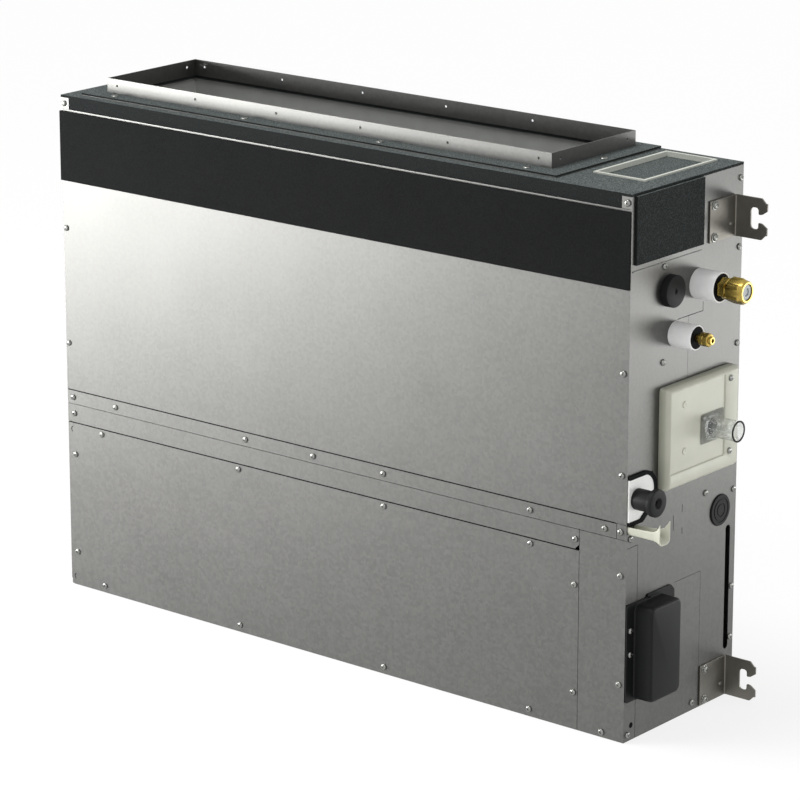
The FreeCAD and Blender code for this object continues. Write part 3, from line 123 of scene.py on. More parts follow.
# The casing screws: pan heads of bright zinc-plated steel with a cross recess, turned down on every panel
# edge and along the folded seams. The ones on the collar's flange are flatter.
front_screws = [(x, 242.3) for x in (-341.4, -130.6, 80.2, 291.0, -413.0, 393.2, -25.4)]
front_screws += [(414.4, 242.6), (-411.3, 222.0), (353.6, 221.9), (-411.0, 169.5), (-411.0, 43.4),
                 (353.2, 169.2), (353.2, 43.3), (415.0, 192.4), (415.0, 66.8), (392.6, 6.0), (-418.0, 454.8),
                 (-418.0, 310.7), (415.0, 420.9), (415.0, 306.5), (-417.0, 609.0), (417.0, 609.0)]
front_screws += [(x, z) for x in (-365.5, -142.0, 81.0, 292.0) for z in (203.5, 8.6)]
right_screws = [(99.7, 601.8), (99.4, 523.8), (99.8, 413.5), (-43.0, 529.0), (-43.0, 421.6), (44.0, 251.9),
                (99.4, 243.3), (99.4, 128.2), (98.3, 67.7), (-97.9, 234.4), (25.1, 9.4), (-97.9, 7.8)]
left_screws = [(99.5, z) for z in (601.8, 523.8, 413.5, 243.3, 128.3, 67.7)]
left_screws += [(-43.0, 529.0), (-43.0, 421.6)]
back_screws = [(x, z) for x in (-414.0, -207.0, 0.0, 207.0, 414.0) for z in (8.0, 242.3, 608.0)]
head_radius = 3.7
head_height = 2.4
recess_reach = 1.9
recess_depth = 1.3
screw_sides = 32
head_turn = 0.7


def facing(side, x, y, z):
    """A spot on one side of the unit: the first two axes lie in that face, the third points out of it."""
    across, up, out = {
        "right": ((0, 1, 0), (0, 0, 1), (1, 0, 0)),
        "left": ((0, -1, 0), (0, 0, 1), (-1, 0, 0)),
        "front": ((1, 0, 0), (0, 0, 1), (0, -1, 0)),
        "back": ((-1, 0, 0), (0, 0, 1), (0, 1, 0)),
        "top": ((1, 0, 0), (0, 1, 0), (0, 0, 1)),
    }[side]
    return Matrix.Translation((x, y, z)) @ Matrix((across, up, out)).transposed().to_4x4()


def on_side(y, z, height=0.0):
    """A spot on the right side plate, or at a height over it."""
    return facing("right", half_width + height, y, z)


def skin(rings, loop=False):
    """Points and faces over a row of like rings, with a cap on both ends, or closed into a loop."""
    count = len(rings[0])
    points = [point for ring in rings for point in ring]
    faces = []
    for i in range(len(rings) if loop else len(rings) - 1):
        low = i * count
        high = (i + 1) % len(rings) * count
        for j in range(count):
            k = (j + 1) % count
            faces.append((low + j, low + k, high + k, high + j))
    if not loop:
        faces.append(tuple(reversed(range(count))))
        faces.append(tuple(range(len(points) - count, len(points))))
    return points, faces


def build(name, shapes, finish, body="casing", replaces=(), smooth=35):
    """One piece, in metres, from shapes in millimetres, with its finish, its body and what it stands for."""
    points = []
    faces = []
    for shape_points, shape_faces in shapes:
        start = len(points)
        points += [Vector(point) * 0.001 for point in shape_points]
        faces += [[start + i for i in face] for face in shape_faces]
    mesh = bpy.data.meshes.new(name)
    mesh.from_pydata(points, [], faces)
    work = bmesh.new()
    work.from_mesh(mesh)
    bmesh.ops.recalc_face_normals(work, faces=work.faces)
    work.to_mesh(mesh)
    work.free()
    mesh.shade_smooth()
    mesh.set_sharp_from_angle(angle=math.radians(smooth))
    piece = bpy.data.objects.new(name, mesh)
    bpy.context.scene.collection.objects.link(piece)
    mesh.materials.append(finish)
    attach(piece, body)
    if replaces:
        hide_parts(*replaces)
    return piece


def screw(spot, radius=head_radius, height=head_height):
    """A domed head with a cross recess, as rings from its edge to the foot of the recess."""
    turns = [2 * math.pi * i / screw_sides for i in range(screw_sides)]
    rings = []
    for up, share in ((0.0, 1.0), (0.35, 1.0), (0.62, 0.93), (0.83, 0.8), (0.95, 0.66)):
        reach = radius * share
        rings.append([(reach * math.cos(a), reach * math.sin(a), height * up) for a in turns])
    arm = math.tan(2 * math.pi / screw_sides)
    for up, share in ((height, 1.0), (height - recess_depth, 0.7)):
        ring = []
        for a in turns:
            off = (a + math.pi / 4) % (math.pi / 2) - math.pi / 4
            reach = min(1 / math.cos(off), arm / max(abs(math.sin(off)), 1e-6)) * recess_reach * share
            ring.append((reach * math.cos(a), reach * math.sin(a), up))
        rings.append(ring)
    points, faces = skin(rings)
    return [spot @ Vector(point) for point in points], faces


def mottled(name, tones, patch, matt, relief=None, grain=None, stretch=None, more={}):
    """A finish whose tone drifts between two over patches, while its roughness and its relief follow a grain.
    Both sizes are in mm, each with its layers of detail. Without a grain the patches set all three."""
    made, tree = new_finish(name)
    place = add(tree, "TexCoord", {}).outputs["Object"]
    patches = add(tree, "TexNoise", {"Vector": place, "Scale": 1000 / patch[0], "Detail": patch[1]})
    fine = patches
    if grain:
        if stretch:
            place = add(tree, "Mapping", {"Vector": place, "Scale": stretch})
        fine = add(tree, "TexNoise", {"Vector": place, "Scale": 1000 / grain[0], "Detail": grain[1]})
    tone = add(tree, "Mix", {"Factor": patches, 6: tones[0], 7: tones[1]}, data_type="RGBA")
    if isinstance(matt, tuple):
        matt = add(tree, "MapRange", {"Value": fine, "To Min": matt[0], "To Max": matt[1]})
    inputs = {"Base Color": tone, "Roughness": matt, **more}
    if relief:
        inputs["Normal"] = add(tree, "Bump", {"Height": fine, "Strength": relief[0], "Distance": relief[1]})
    add(tree, "OutputMaterial", {"Surface": add(tree, "BsdfPrincipled", inputs)})
    return made


# Zinc-plated steel, tumbled and plated: a bright, slightly blue-grey metal with small soft dents.
bright_steel = mottled("zinc_plated_steel_bright", ("#6a6b68", "#a3a4a0"), (1.5, 2.0), (0.22, 0.36),
                       (0.15, 0.0001), more={"Metallic": 1.0})

spots = [facing("front", x, -half_depth, z) for x, z in front_screws]
spots += [on_side(y, z) for y, z in right_screws]
spots += [facing("left", -half_width, y, z) for y, z in left_screws]
spots += [facing("back", x, half_depth, z) for x, z in back_screws]
shapes = [screw(spot @ Matrix.Rotation(head_turn * i, 4, "Z")) for i, spot in enumerate(spots)]
build("casing_screws", shapes, bright_steel)

# The outside foam: soft closed-cell sheets glued on to stop dew, a smooth-skinned band across the front and
# coarser sheets with the cells cut open on the sides, the top and the pad in the service port.
cell_width = 1.6

# Polyethylene foam, skived and pressed: near black, quite matt, with a fine pinprick grain.
band_foam, tree = new_finish("polyethylene_foam_skinned")
place = add(tree, "TexCoord", {}).outputs["Object"]
pores = add(tree, "TexNoise", {"Vector": place, "Scale": 1000 / cell_width, "Detail": 5.0})
waves = add(tree, "TexNoise", {"Vector": place, "Scale": 1000 / 60.0})
pore_share = add(tree, "MapRange", {"Value": pores, "From Min": 0.35, "From Max": 0.65})
tone = add(tree, "Mix", {"Factor": pore_share, 6: "#0c0d0d", 7: "#151616"}, data_type="RGBA")
wave_share = add(tree, "MapRange", {"Value": waves, "To Min": 0.0, "To Max": 0.3})
tone = add(tree, "Mix", {"Factor": wave_share, 6: tone, 7: "#1e1f20"}, data_type="RGBA")
bump = add(tree, "Bump", {"Height": pores, "Strength": 0.5, "Distance": 0.0006})
shader = add(tree, "BsdfPrincipled", {"Base Color": tone, "Roughness": 0.8, "Normal": bump,
                                      "Specular IOR Level": 0.07})
add(tree, "OutputMaterial", {"Surface": shader})

# The same foam with its cells cut open: grey walls round dark hollows, so it looks speckled, with painted
# light on top, where upward faces are mixed towards a paler tone, and darker on the cut edge at the front.
cut_foam, tree = new_finish("polyethylene_foam_cut")
place = add(tree, "TexCoord", {}).outputs["Object"]
cells = add(tree, "TexVoronoi", {"Vector": place, "Scale": 1000 / cell_width})
dust = add(tree, "TexNoise", {"Vector": place, "Scale": 1000 / 1.1, "Detail": 4.0})
wall_share = add(tree, "MapRange", {"Value": cells.outputs["Distance"], "From Min": 0.25, "From Max": 0.75})
mixed = add(tree, "Math", {0: wall_share, 1: dust}, operation="MULTIPLY")
mixed = add(tree, "MapRange", {"Value": mixed, "From Min": 0.08, "From Max": 0.5})
tone = add(tree, "Mix", {"Factor": mixed, 6: "#151818", 7: "#2b2f2f"}, data_type="RGBA")
# Painted light: the paler tone that faces pointing up are mixed towards, by how far they point up.
painted_top_light_tone = add(tree, "Mix", {"Factor": mixed, 6: "#3a4040", 7: "#6d7573"}, data_type="RGBA")
upright = add(tree, "SeparateXYZ", {"Vector": add(tree, "NewGeometry", {}).outputs["Normal"]})
painted_top_light = add(tree, "MapRange", {"Value": upright.outputs["Z"], "From Min": 0.5, "From Max": 0.9})
tone = add(tree, "Mix", {"Factor": painted_top_light, 6: tone, 7: painted_top_light_tone}, data_type="RGBA")
forward = add(tree, "MapRange", {"Value": upright.outputs["Y"], "From Min": -0.5, "From Max": -0.9,
                                 "To Max": 0.8})
tone = add(tree, "Mix", {"Factor": forward, 6: tone, 7: "#111414"}, data_type="RGBA")
bump = add(tree, "Bump", {"Height": mixed, "Strength": 0.6, "Distance": 0.0008})
shader = add(tree, "BsdfPrincipled", {"Base Color": tone, "Roughness": 0.88, "Normal": bump,
                                      "Specular IOR Level": 0.2})
add(tree, "OutputMaterial", {"Surface": shader})

dress(["front_foam_band", "pan_gasket"], band_foam, 0.5)
dress(["top_foam", "collar_foam_sheet"], cut_foam, 0.5)

foam_sheet = 3.0
sheet_y = (-98.8, 27.0)
sheet_z = (540.3, 616.0)


def rectangle(left, low, right, high):
    """The four corners of an upright rectangle, in order."""
    return [(left, low), (right, low), (right, high), (left, high)]


def plate(outline, low, high, spot):
    """A flat outline with a thickness, from low to high above a spot."""
    rings = [[spot @ Vector((u, v, w)) for u, v in outline] for w in (low, high)]
    return skin(rings)


shapes = []
for name, side in (("right", 1), ("left", -1)):
    spot = facing(name, side * half_width, 0, 0)
    near, far = sorted((side * sheet_y[0], side * sheet_y[1]))
    shapes.append(plate(rectangle(near, sheet_z[0], far, sheet_z[1]), 0.0, foam_sheet, spot))
sheets = build("side_foam_sheets", shapes, cut_foam, replaces=["side_foams"])
round_edges(sheets, 0.5)

# The duct collar and the liner below it: one sheet folded up into a frame on a flat flange, and a deeper ring
# of the same sheet set back behind it, with a dark gap between the two. Flat-headed screws hold the flange.
flange_top = 621.8
flange_screws = [(x, -81.0) for x in (-355.0, -148.0, 56.0, 264.0)] + [(301.0, 10.0), (-391.0, 10.0)]

# The liner's steel, left to dull: a pale grey bloom of oxide over the zinc, so it is lit rather than mirrors.
dull_steel = mottled("galvanised_steel_dulled", ("#c2c3bf", "#dadbd7"), (25.0, 4.0), (0.45, 0.6),
                     more={"Metallic": 0.15})

dress(["outlet_collar"], galvanised, 0.25)
dress(["outlet_liner"], dull_steel, 0.25)
shapes = [screw(facing("top", x, y, flange_top), 4.6, 1.5) for x, y in flange_screws]
build("collar_flange_screws", shapes, bright_steel)

# The frame of the service port: a strip of white foam pressed round a shallow tray in the top.
# White polyethylene foam, cut: chalky, a little grey in its cells.
white_foam, tree = new_finish("polyethylene_foam_white")
place = add(tree, "TexCoord", {}).outputs["Object"]
cells = add(tree, "TexVoronoi", {"Vector": place, "Scale": 1000 / 1.4})
cell_share = add(tree, "MapRange", {"Value": cells.outputs["Distance"], "To Min": 0.0, "To Max": 0.5})
tone = add(tree, "Mix", {"Factor": cell_share, 6: "#c6c9bf", 7: "#e9ebe2"}, data_type="RGBA")
bump = add(tree, "Bump", {"Height": cells.outputs["Distance"], "Strength": 0.3, "Distance": 0.0004})
shader = add(tree, "BsdfPrincipled", {"Base Color": tone, "Roughness": 0.85, "Normal": bump})
add(tree, "OutputMaterial", {"Surface": shader})

dress(["port_frame"], white_foam, 0.6)

# The hanger brackets: 2 mm steel blanked with a hooked slot for a hanging rod, folded once at a right angle
# with a small pressed rib across the fold, and screwed to the side plates through toothed washers.
bracket_levels = (25.0, 562.0)
bracket_half = 23.5
bracket_sheet = 2.0
bracket_front = 39.0
bracket_back = 90.0
bracket_tip = 466.0
slot_middle = 449.4
bend_inside = 1.5
bend_steps = 8
washer_height = 0.7
foot_screw_y = 47.5
foot_screw_rise = 18.0


def softened(corners, radius, steps=5):
    """A closed flat outline with its corners rounded. A third number in a corner is a radius of its own."""
    outline = []
    for i, corner in enumerate(corners):
        here = Vector(corner[:2])
        before = Vector(corners[i - 1][:2]) - here
        after = Vector(corners[(i + 1) % len(corners)][:2]) - here
        own = corner[2] if len(corner) > 2 else radius
        half = before.angle(after) / 2
        reach = min(own / math.tan(half), before.length * 0.49, after.length * 0.49)
        start = here + before.normalized() * reach
        end = here + after.normalized() * reach
        for j in range(steps + 1):
            t = j / steps
            outline.append(tuple(start * (1 - t) ** 2 + here * (2 * t * (1 - t)) + end * t ** 2))
    return outline


def turned(profile, spot, sides=48, across=0.0, loop=False):
    """A turned shape from (height, radius) pairs. Across flats, when given, cuts it to a hexagon."""
    rings = []
    for up, radius in profile:
        ring = []
        for i in range(sides):
            a = 2 * math.pi * i / sides
            reach = radius
            if across:
                off = (a + math.pi / 6) % (math.pi / 3) - math.pi / 6
                reach = min(radius, across / 2 / math.cos(off))
            ring.append(spot @ Vector((reach * math.cos(a), reach * math.sin(a), up)))
        rings.append(ring)
    return skin(rings, loop)


def folded_bracket(level, side):
    """The blank as a flat outline along the sheet, cut into strips over the bend and folded there."""
    middle = bend_inside + bracket_sheet / 2
    bend_start = bracket_back - bend_inside - bracket_sheet - bracket_front
    bend_end = bend_start + middle * math.pi / 2
    leaf_start = half_width + bend_inside + bracket_sheet
    shift = bend_end - leaf_start
    tip = bracket_tip + shift
    slot = slot_middle + shift
    top = [(0, bracket_half, 1.0), (tip - 7.5, bracket_half, 1.5), (tip - 2, 18, 0.8), (tip, 18, 0.6),
           (tip, 9.7, 0.8), (tip - 6.5, 5.2, 1.5), (slot + 5, 4.2, 1.8), (slot + 5, 12.2, 4.9),
           (slot - 5, 12.2, 4.9)]
    low = [(u, -v, own) for u, v, own in reversed(top)]
    mesh = bpy.data.meshes.new("blank")
    points, faces = plate(softened(top + low, 1.0), -bracket_sheet / 2, bracket_sheet / 2, Matrix())
    mesh.from_pydata(points, [], faces)
    work = bmesh.new()
    work.from_mesh(mesh)
    for i in range(bend_steps + 1):
        u = bend_start + (bend_end - bend_start) * i / bend_steps
        whole = work.verts[:] + work.edges[:] + work.faces[:]
        bmesh.ops.bisect_plane(work, geom=whole, plane_co=(u, 0, 0), plane_no=(1, 0, 0))
    folded = []
    for vert in work.verts:
        u, v, w = vert.co
        if u <= bend_start:
            x, y = half_width + bracket_sheet / 2 + w, bracket_front + u
        elif u >= bend_end:
            x, y = u - shift, bracket_back - bracket_sheet / 2 - w
        else:
            turn = (u - bend_start) / middle
            reach = middle - w
            x = leaf_start - reach * math.cos(turn)
            y = bracket_back - bend_inside - bracket_sheet + reach * math.sin(turn)
        folded.append(Vector((side * x, y, level + v)))
    work.verts.index_update()
    made = folded, [[vert.index for vert in face.verts] for face in work.faces]
    work.free()
    bpy.data.meshes.remove(mesh)
    return made


def washer(spot):
    """A toothed lock washer: a thin ring with twelve raised teeth."""
    rings = []
    for up, radius, teeth in ((0.0, 5.4, 0.0), (0.6, 5.4, 0.0), (0.9, 4.9, 0.35), (0.9, 3.0, 0.0)):
        ring = []
        for i in range(48):
            a = 2 * math.pi * i / 48
            reach = radius + teeth * (1 if i % 4 < 2 else -1)
            ring.append(spot @ Vector((reach * math.cos(a), reach * math.sin(a), up)))
        rings.append(ring)
    return skin(rings)


# Rolled steel, left bare: a brownish dark grey, softly brushed along the sheet.
bracket_steel = mottled("rolled_steel_bare", ("#6a6862", "#827f78"), (25.0, 2.0), (0.42, 0.56), (0.1, 0.0001),
                        grain=(1.2, 3.0), stretch=(0.05, 0.05, 1.0), more={"Metallic": 1.0})

for side, name in ((1, "right"), (-1, "left")):
    face = half_width + bracket_sheet
    shapes = []
    fasteners = []
    for level in bracket_levels:
        shapes.append(folded_bracket(level, side))
        rib = facing(name, side * (face - 0.6), bracket_back - 8.5, level - 8)
        arc = [(0.0, 2.6), (0.9, 2.3), (1.7, 1.5), (2.1, 0.5)]
        shapes.append(turned(arc, rib @ Matrix.Diagonal((2.2, 1.0, 1.0, 1.0)), 24))
        for rise in (-foot_screw_rise, foot_screw_rise):
            spot = facing(name, side * face, foot_screw_y, level + rise)
            fasteners.append(washer(spot))
            fasteners.append(screw(spot @ Matrix.Translation((0, 0, washer_height)), 3.9, 2.6))
    piece = build("hanger_brackets_%s_folded" % name, shapes, bracket_steel,
                  replaces=["hanger_brackets_" + name])
    round_edges(piece, 0.3)
    build("hanger_screws_" + name, fasteners, bright_steel)

# The refrigerant pipes where they leave the side: each in a thick sleeve with a glossy white skin over black
# foam, and a brass flare union on its end. The gas union carries a big nut closed with a grey plug.
gas_axis = (21.6, 497.4)
gas_sleeve_radius = 17.0
gas_sleeve_length = 31.0
gas_end = 64.7
gas_pipe_radius = 6.35
liquid_axis = (-20.8, 449.5)
liquid_sleeve_radius = 14.0
liquid_sleeve_length = 29.4
liquid_end = 49.5
liquid_pipe_radius = 3.18

# Polyethylene skin, extruded over the foam: white with a cool cast, a soft gloss, and faint wraps along it.
sleeve_skin = mottled("polyethylene_skin_extruded", ("#e2e2e2", "#f4f4f3"), (9.0, 2.0), 0.32, (0.25, 0.0006),
                      more={"Coat Weight": 0.25, "Coat Roughness": 0.15})

# Brass, turned and milled: warm yellow metal with fine rings from the lathe and browner hollows.
brass = mottled("brass_turned", ("#94803c", "#c2a85c"), (8.0, 3.0), (0.2, 0.32), (0.05, 0.0001),
                grain=(0.6, 2.0), stretch=(1.0, 0.1, 0.1), more={"Metallic": 1.0})

# Grey moulded polyethylene for the dust plug: soft sheen, slightly clouded.
grey_plastic = mottled("polyethylene_grey_moulded", ("#82888a", "#a3a9aa"), (5.0, 2.0), 0.42, (0.1, 0.0003))

skins = []
cores = []
for axis, radius, length, pipe in (
        (gas_axis, gas_sleeve_radius, gas_sleeve_length, gas_pipe_radius),
        (liquid_axis, liquid_sleeve_radius, liquid_sleeve_length, liquid_pipe_radius)):
    spot = on_side(*axis)
    skins.append(turned([(0.0, radius), (length - 0.9, radius), (length - 0.3, radius - 0.25),
                         (length, radius - 0.7), (length - 0.3, radius - 1.4), (0.0, radius - 1.4)],
                        spot, 72, loop=True))
    cores.append(turned([(0.0, radius - 1.45), (length - 1.2, radius - 1.45), (length - 0.6, radius - 2.2),
                         (length - 0.7, pipe + 1.2), (length - 1.4, pipe), (0.0, pipe)], spot, 72, loop=True))
build("pipe_sleeve_skins", skins, sleeve_skin, replaces=["pipe_sleeves"])
build("pipe_sleeve_foam", cores, band_foam, replaces=["sleeve_cores"])

spot = on_side(*gas_axis, gas_end)
union = turned([(-33, 6.4), (-33, 10.6), (-32.2, 12.1), (-23.9, 12.1), (-23.1, 10.6), (-22.5, 8.9),
                (-7.2, 8.9), (-7.2, 6.4)], spot, 72, across=22.0, loop=True)
build("gas_union_turned", [union], brass, replaces=["gas_union"], smooth=14)
nut = turned([(-22, 9.1), (-22, 11.8), (-20.8, 13.2), (-18.6, 15.0), (-5.6, 15.0), (-1.9, 12.6), (-0.5, 11.9),
              (0.0, 11.2), (0.0, 9.4), (-0.8, 9.1)], spot, 96, across=26.0, loop=True)
build("gas_flare_nut_turned", [nut], brass, replaces=["gas_flare_nut"], smooth=14)
plug = turned([(-7, 8.9), (-2.0, 8.9), (-1.4, 8.4), (-1.4, 4.6), (-2.6, 4.2)], spot, 48)
build("gas_dust_plug", [plug], grey_plastic, replaces=["gas_plug"])

spot = on_side(*liquid_axis, liquid_end)
small = turned([(-20, 3.3), (-20, 4.2), (-19.6, 4.6), (-15.6, 4.6), (-15.0, 6.4), (-14.2, 7.7), (-10.2, 7.7),
                (-9.6, 7.1), (-9.0, 7.1), (-8.4, 7.7), (-4.2, 7.7), (-3.3, 6.4), (-3.0, 4.8), (-0.8, 4.6),
                (0.0, 4.0), (0.0, 2.6), (-1.8, 2.2), (-4, 2.1)], spot, 72, across=14.0)
build("liquid_union_turned", [small], brass, replaces=["liquid_fitting"], smooth=14)

# The rubber parts on the side: a thick plug with a small three-cornered hole for the sensor lead, painted as
# shade on its face, a flat grommet with moulded rings, and the stopper that closes the drain spigot.
cable_plug_axis = (-32.9, 500.2)
grommet_axis = (73.0, 225.0)
drain_axis = (-89.9, 278.9)

# Rubber, moulded: almost black, matt, with a faint bloom.
rubber, tree = new_finish("rubber_moulded")
place = add(tree, "TexCoord", {}).outputs["Object"]
bloom = add(tree, "TexNoise", {"Vector": place, "Scale": 1000 / 6.0, "Detail": 4.0})
skin_grain = add(tree, "TexNoise", {"Vector": place, "Scale": 1000 / 0.8})
tone = add(tree, "Mix", {"Factor": bloom, 6: "#0d0e0d", 7: "#1b1c1c"}, data_type="RGBA")
matt = add(tree, "MapRange", {"Value": bloom, "To Min": 0.45, "To Max": 0.62})
bump = add(tree, "Bump", {"Height": skin_grain, "Strength": 0.12, "Distance": 0.0002})
shader = add(tree, "BsdfPrincipled", {"Base Color": tone, "Roughness": matt, "Normal": bump,
                                      "Specular IOR Level": 0.15})
add(tree, "OutputMaterial", {"Surface": shader})

spot = on_side(*cable_plug_axis)
disc = turned([(-4, 12.4), (0.0, 12.4), (0.0, 17.6), (0.5, 18.0), (8.2, 18.0), (8.9, 17.7), (9.2, 17.0),
               (9.2, 2.4), (6.0, 1.9)], spot, 72)
build("cable_plug_moulded", [disc], rubber, replaces=["cable_plug"])

# Painted shade black, for the bottom of small holes: a flat dark black laid where there is only shade, that
# gives back no light.
painted_shade_black = mottled("painted_shade_black_hole", ("#050505", "#0c0c0c"), (2.0, 2.0), 0.95,
                     more={"Specular IOR Level": 0.1})
# The lead's hole is not cut: a thin plate of painted shade lies on the plug's face where it would be.
lead_hole_shade = softened([(-2.2, -4.6), (2.6, 0.8), (-1.7, 4.8)], 0.8)
build("cable_plug_painted_hole_shade", [plate(lead_hole_shade, 9.05, 9.28, spot)], painted_shade_black)

for name, axis, profile in (
        ("grommet", grommet_axis,
         [(-3, 12.8), (0.0, 12.8), (0.0, 18.3), (0.4, 18.5), (1.5, 18.2), (2.0, 17.6), (2.0, 14.6),
          (1.3, 14.2), (1.3, 12.4), (2.0, 12.0), (2.0, 8.2), (1.3, 7.8), (1.3, 6.6), (2.0, 6.2)]),
        ("drain_plug", drain_axis,
         [(2.2, 11.4), (3.4, 12.0), (23.4, 12.0), (23.9, 13.6), (24.4, 15.2), (25.4, 15.5), (29.6, 15.5),
          (30.6, 15.0), (30.9, 14.2), (30.9, 6.4), (30.0, 5.6), (27.0, 3.0), (23.0, 2.8)])):
    part = turned(profile, on_side(*axis), 72)
    build(name + "_moulded", [part], rubber, replaces=[name])

# The drain: the white block at the end of the pan comes through the side plate inside a foam band, and an
# open cream trough under it leads drips away from the casing.
spout_front = -104.0
spout_back = -90.0
spout_low = 239.5
spout_high = 249.5
spout_length = 45.0
spout_wall = 1.4

# Polypropylene, moulded: cream, slightly see-through, so its thin edges glow.
cream = mottled("polypropylene_cream_moulded", ("#aaab9c", "#bcbdae"), (30.0, 3.0), (0.36, 0.5),
                (0.08, 0.0002), grain=(1.2, 2.0),
                more={"Subsurface Weight": 0.15, "Subsurface Radius": (1.0, 0.95, 0.75),
                      "Subsurface Scale": 0.003})

# White moulded polystyrene for the pan: clean, half matt.
white_plastic = mottled("polystyrene_white_moulded", ("#e2e3e0", "#f1f1ee"), (2.0, 3.0), 0.45, (0.1, 0.0002))

dress(["drain_pan"], white_plastic, 0.6)


def trough(inset, floor):
    """The trough's section at each station along it, opened upwards: one ring a station."""
    rings = []
    for out, flare, rise in ((0.0, 0.0, 0.0), (20.0, 0.0, 0.6), (34.0, 0.2, 1.6), (39.0, 1.0, 4.0),
                             (42.5, 2.1, 8.0), (spout_length, 3.0, 12.6)):
        front = spout_front - flare + inset
        back = spout_back + flare - inset
        low = spout_low - flare + floor
        top = spout_high + rise
        across = [(front, top), (front, low + 5), (front + 1.5, low + 1.5), (front + 5, low), (back - 5, low),
                  (back - 1.5, low + 1.5), (back, low + 5), (back, top)]
        rings.append([(half_width + out, y, z) for y, z in across])
    return rings


outside = trough(0.0, 0.0)
inside = trough(spout_wall, spout_wall)
shape = skin([out + into[::-1] for out, into in zip(outside, inside)])
spout = build("drip_spout_moulded", [shape], cream, replaces=["drip_spout"])
round_edges(spout, 0.5)

# The cover of the drain pump: a cream moulding with a sloped rim, a sunk field, two moulded pips and two
# screws, and a clear outlet socket held to it by a square plate.
cover_edge = (-48.5, 277.5, 88.0, 393.5)
cover_height = 13.5
field_edge = (-44.0, 295.0, 60.0, 388.5)
field_drop = 1.5
pip_spots = [(-17.0, 370.0), (-16.0, 317.0)]
cover_screws = [(69.0, 382.0), (69.0, 298.0)]
socket_axis = (36.0, 334.0)
socket_plate = (44.0, 34.0)
socket_sheet = 1.5
socket_screws = [(-17.0, 12.0), (17.0, -12.0)]

right_face = on_side(0, 0)


def rim_at(edge, inset, radius, height):
    """A rounded rectangle at a height over the side plate, drawn in on every side by the inset."""
    left, low, right, high = edge
    corners = rectangle(left + inset, low + inset, right - inset, high - inset)
    return [right_face @ Vector((u, v, height)) for u, v in softened(corners, radius, 6)]


rings = [rim_at(cover_edge, *step) for step in (
    (0.3, 4.0, 0.0), (0.0, 4.0, 0.5), (0.0, 4.0, 8.0), (0.4, 4.0, 9.4), (2.6, 3.0, 12.6), (3.6, 2.5, 13.3),
    (4.8, 2.0, cover_height))]
rings += [rim_at(field_edge, *step) for step in (
    (-0.6, 2.5, cover_height), (0.0, 2.5, cover_height - 0.3), (0.9, 2.0, cover_height - field_drop))]
shapes = [skin(rings)]
pip = [(-0.1, 4.0), (0.5, 3.9), (0.9, 3.4), (1.0, 2.6), (0.7, 1.8)]
shapes += [turned(pip, on_side(y, z, cover_height - field_drop), 32) for y, z in pip_spots]
build("pump_cover_moulded", shapes, cream, replaces=["pump_cover"])
shapes = [screw(on_side(y, z, cover_height)) for y, z in cover_screws]
build("pump_cover_screws", shapes, bright_steel)

# Clear polycarbonate, moulded: see-through with a faint grey cast and bright edges.
clear, tree = new_finish("polycarbonate_clear_moulded")
place = add(tree, "TexCoord", {}).outputs["Object"]
ripple = add(tree, "TexNoise", {"Vector": place, "Scale": 1000 / 12.0})
bump = add(tree, "Bump", {"Height": ripple, "Strength": 0.15, "Distance": 0.0008})
shader = add(tree, "BsdfPrincipled",
             {"Base Color": "#f1f4f2", "Roughness": 0.04, "IOR": 1.52, "Transmission Weight": 0.95,
              "Alpha": 0.55, "Normal": bump})
add(tree, "OutputMaterial", {"Surface": shader})

spot = on_side(*socket_axis, cover_height - field_drop)
half_y = socket_plate[0] / 2
half_z = socket_plate[1] / 2
shapes = [plate(softened(rectangle(-half_y, -half_z, half_y, half_z), 3.0), 0.0, socket_sheet, spot)]
shapes.append(turned([(1.4, 15.5), (2.6, 15.2), (3.4, 13.4), (5.0, 12.2), (20.0, 12.0), (33.0, 12.0),
                      (34.6, 12.0), (35.2, 11.4), (35.5, 10.8), (35.2, 10.3), (1.4, 10.0)],
                     spot, 72, loop=True))
for turn in (45, 135, 225, 315):
    web = spot @ Matrix.Rotation(math.radians(turn), 4, "Z") @ Matrix.Rotation(math.radians(90), 4, "X")
    shapes.append(plate(softened([(11.8, 1.4), (17.8, 1.4), (12.0, 12.0)], 0.4), -0.7, 0.7, web))
socket = build("pump_socket_moulded", shapes, clear, replaces=["pump_socket"])
round_edges(socket, 0.3)
seal = turned([(35.0, 12.0), (35.2, 12.3), (36.0, 12.3), (36.2, 12.0), (36.2, 10.6), (35.9, 10.4),
               (35.2, 10.4)], spot, 72, loop=True)
# The throat is a thin disc of the rubber inside the foot of the socket: painted shade where the outlet opens
# into the pump.
throat_shade = turned([(0.2, 9.6), (0.3, 9.6), (0.3, 4.0), (0.25, 3.8)], spot, 48)
build("pump_socket_seal_and_throat_shade", [seal, throat_shade], rubber)
shapes = [screw(spot @ Matrix.Translation((u, v, socket_sheet)), 3.2, 2.0) for u, v in socket_screws]
build("pump_socket_screws", shapes, bright_steel)

# The wiring cover: a deep black cap over the cable entry, well rounded, on a flange with an ear at the back.
# It is moulded in one piece, and two screws hold its front edge.
cap_edge = (-90.0, 46.5, -33.0, 157.0)
cap_height = 25.0
flange_sheet = 2.0
cap_screws = [(-98.0, 129.5), (-98.0, 102.0)]

# Polypropylene, moulded with a fine spark-eroded grain: soft black, silky, with broad pale highlights.
black_plastic = mottled("polypropylene_black_grained", ("#0e0f0f", "#191a1a"), (40.0, 2.0), (0.38, 0.5),
                        (0.18, 0.0003), grain=(0.9, 4.0), more={"Specular IOR Level": 0.15})

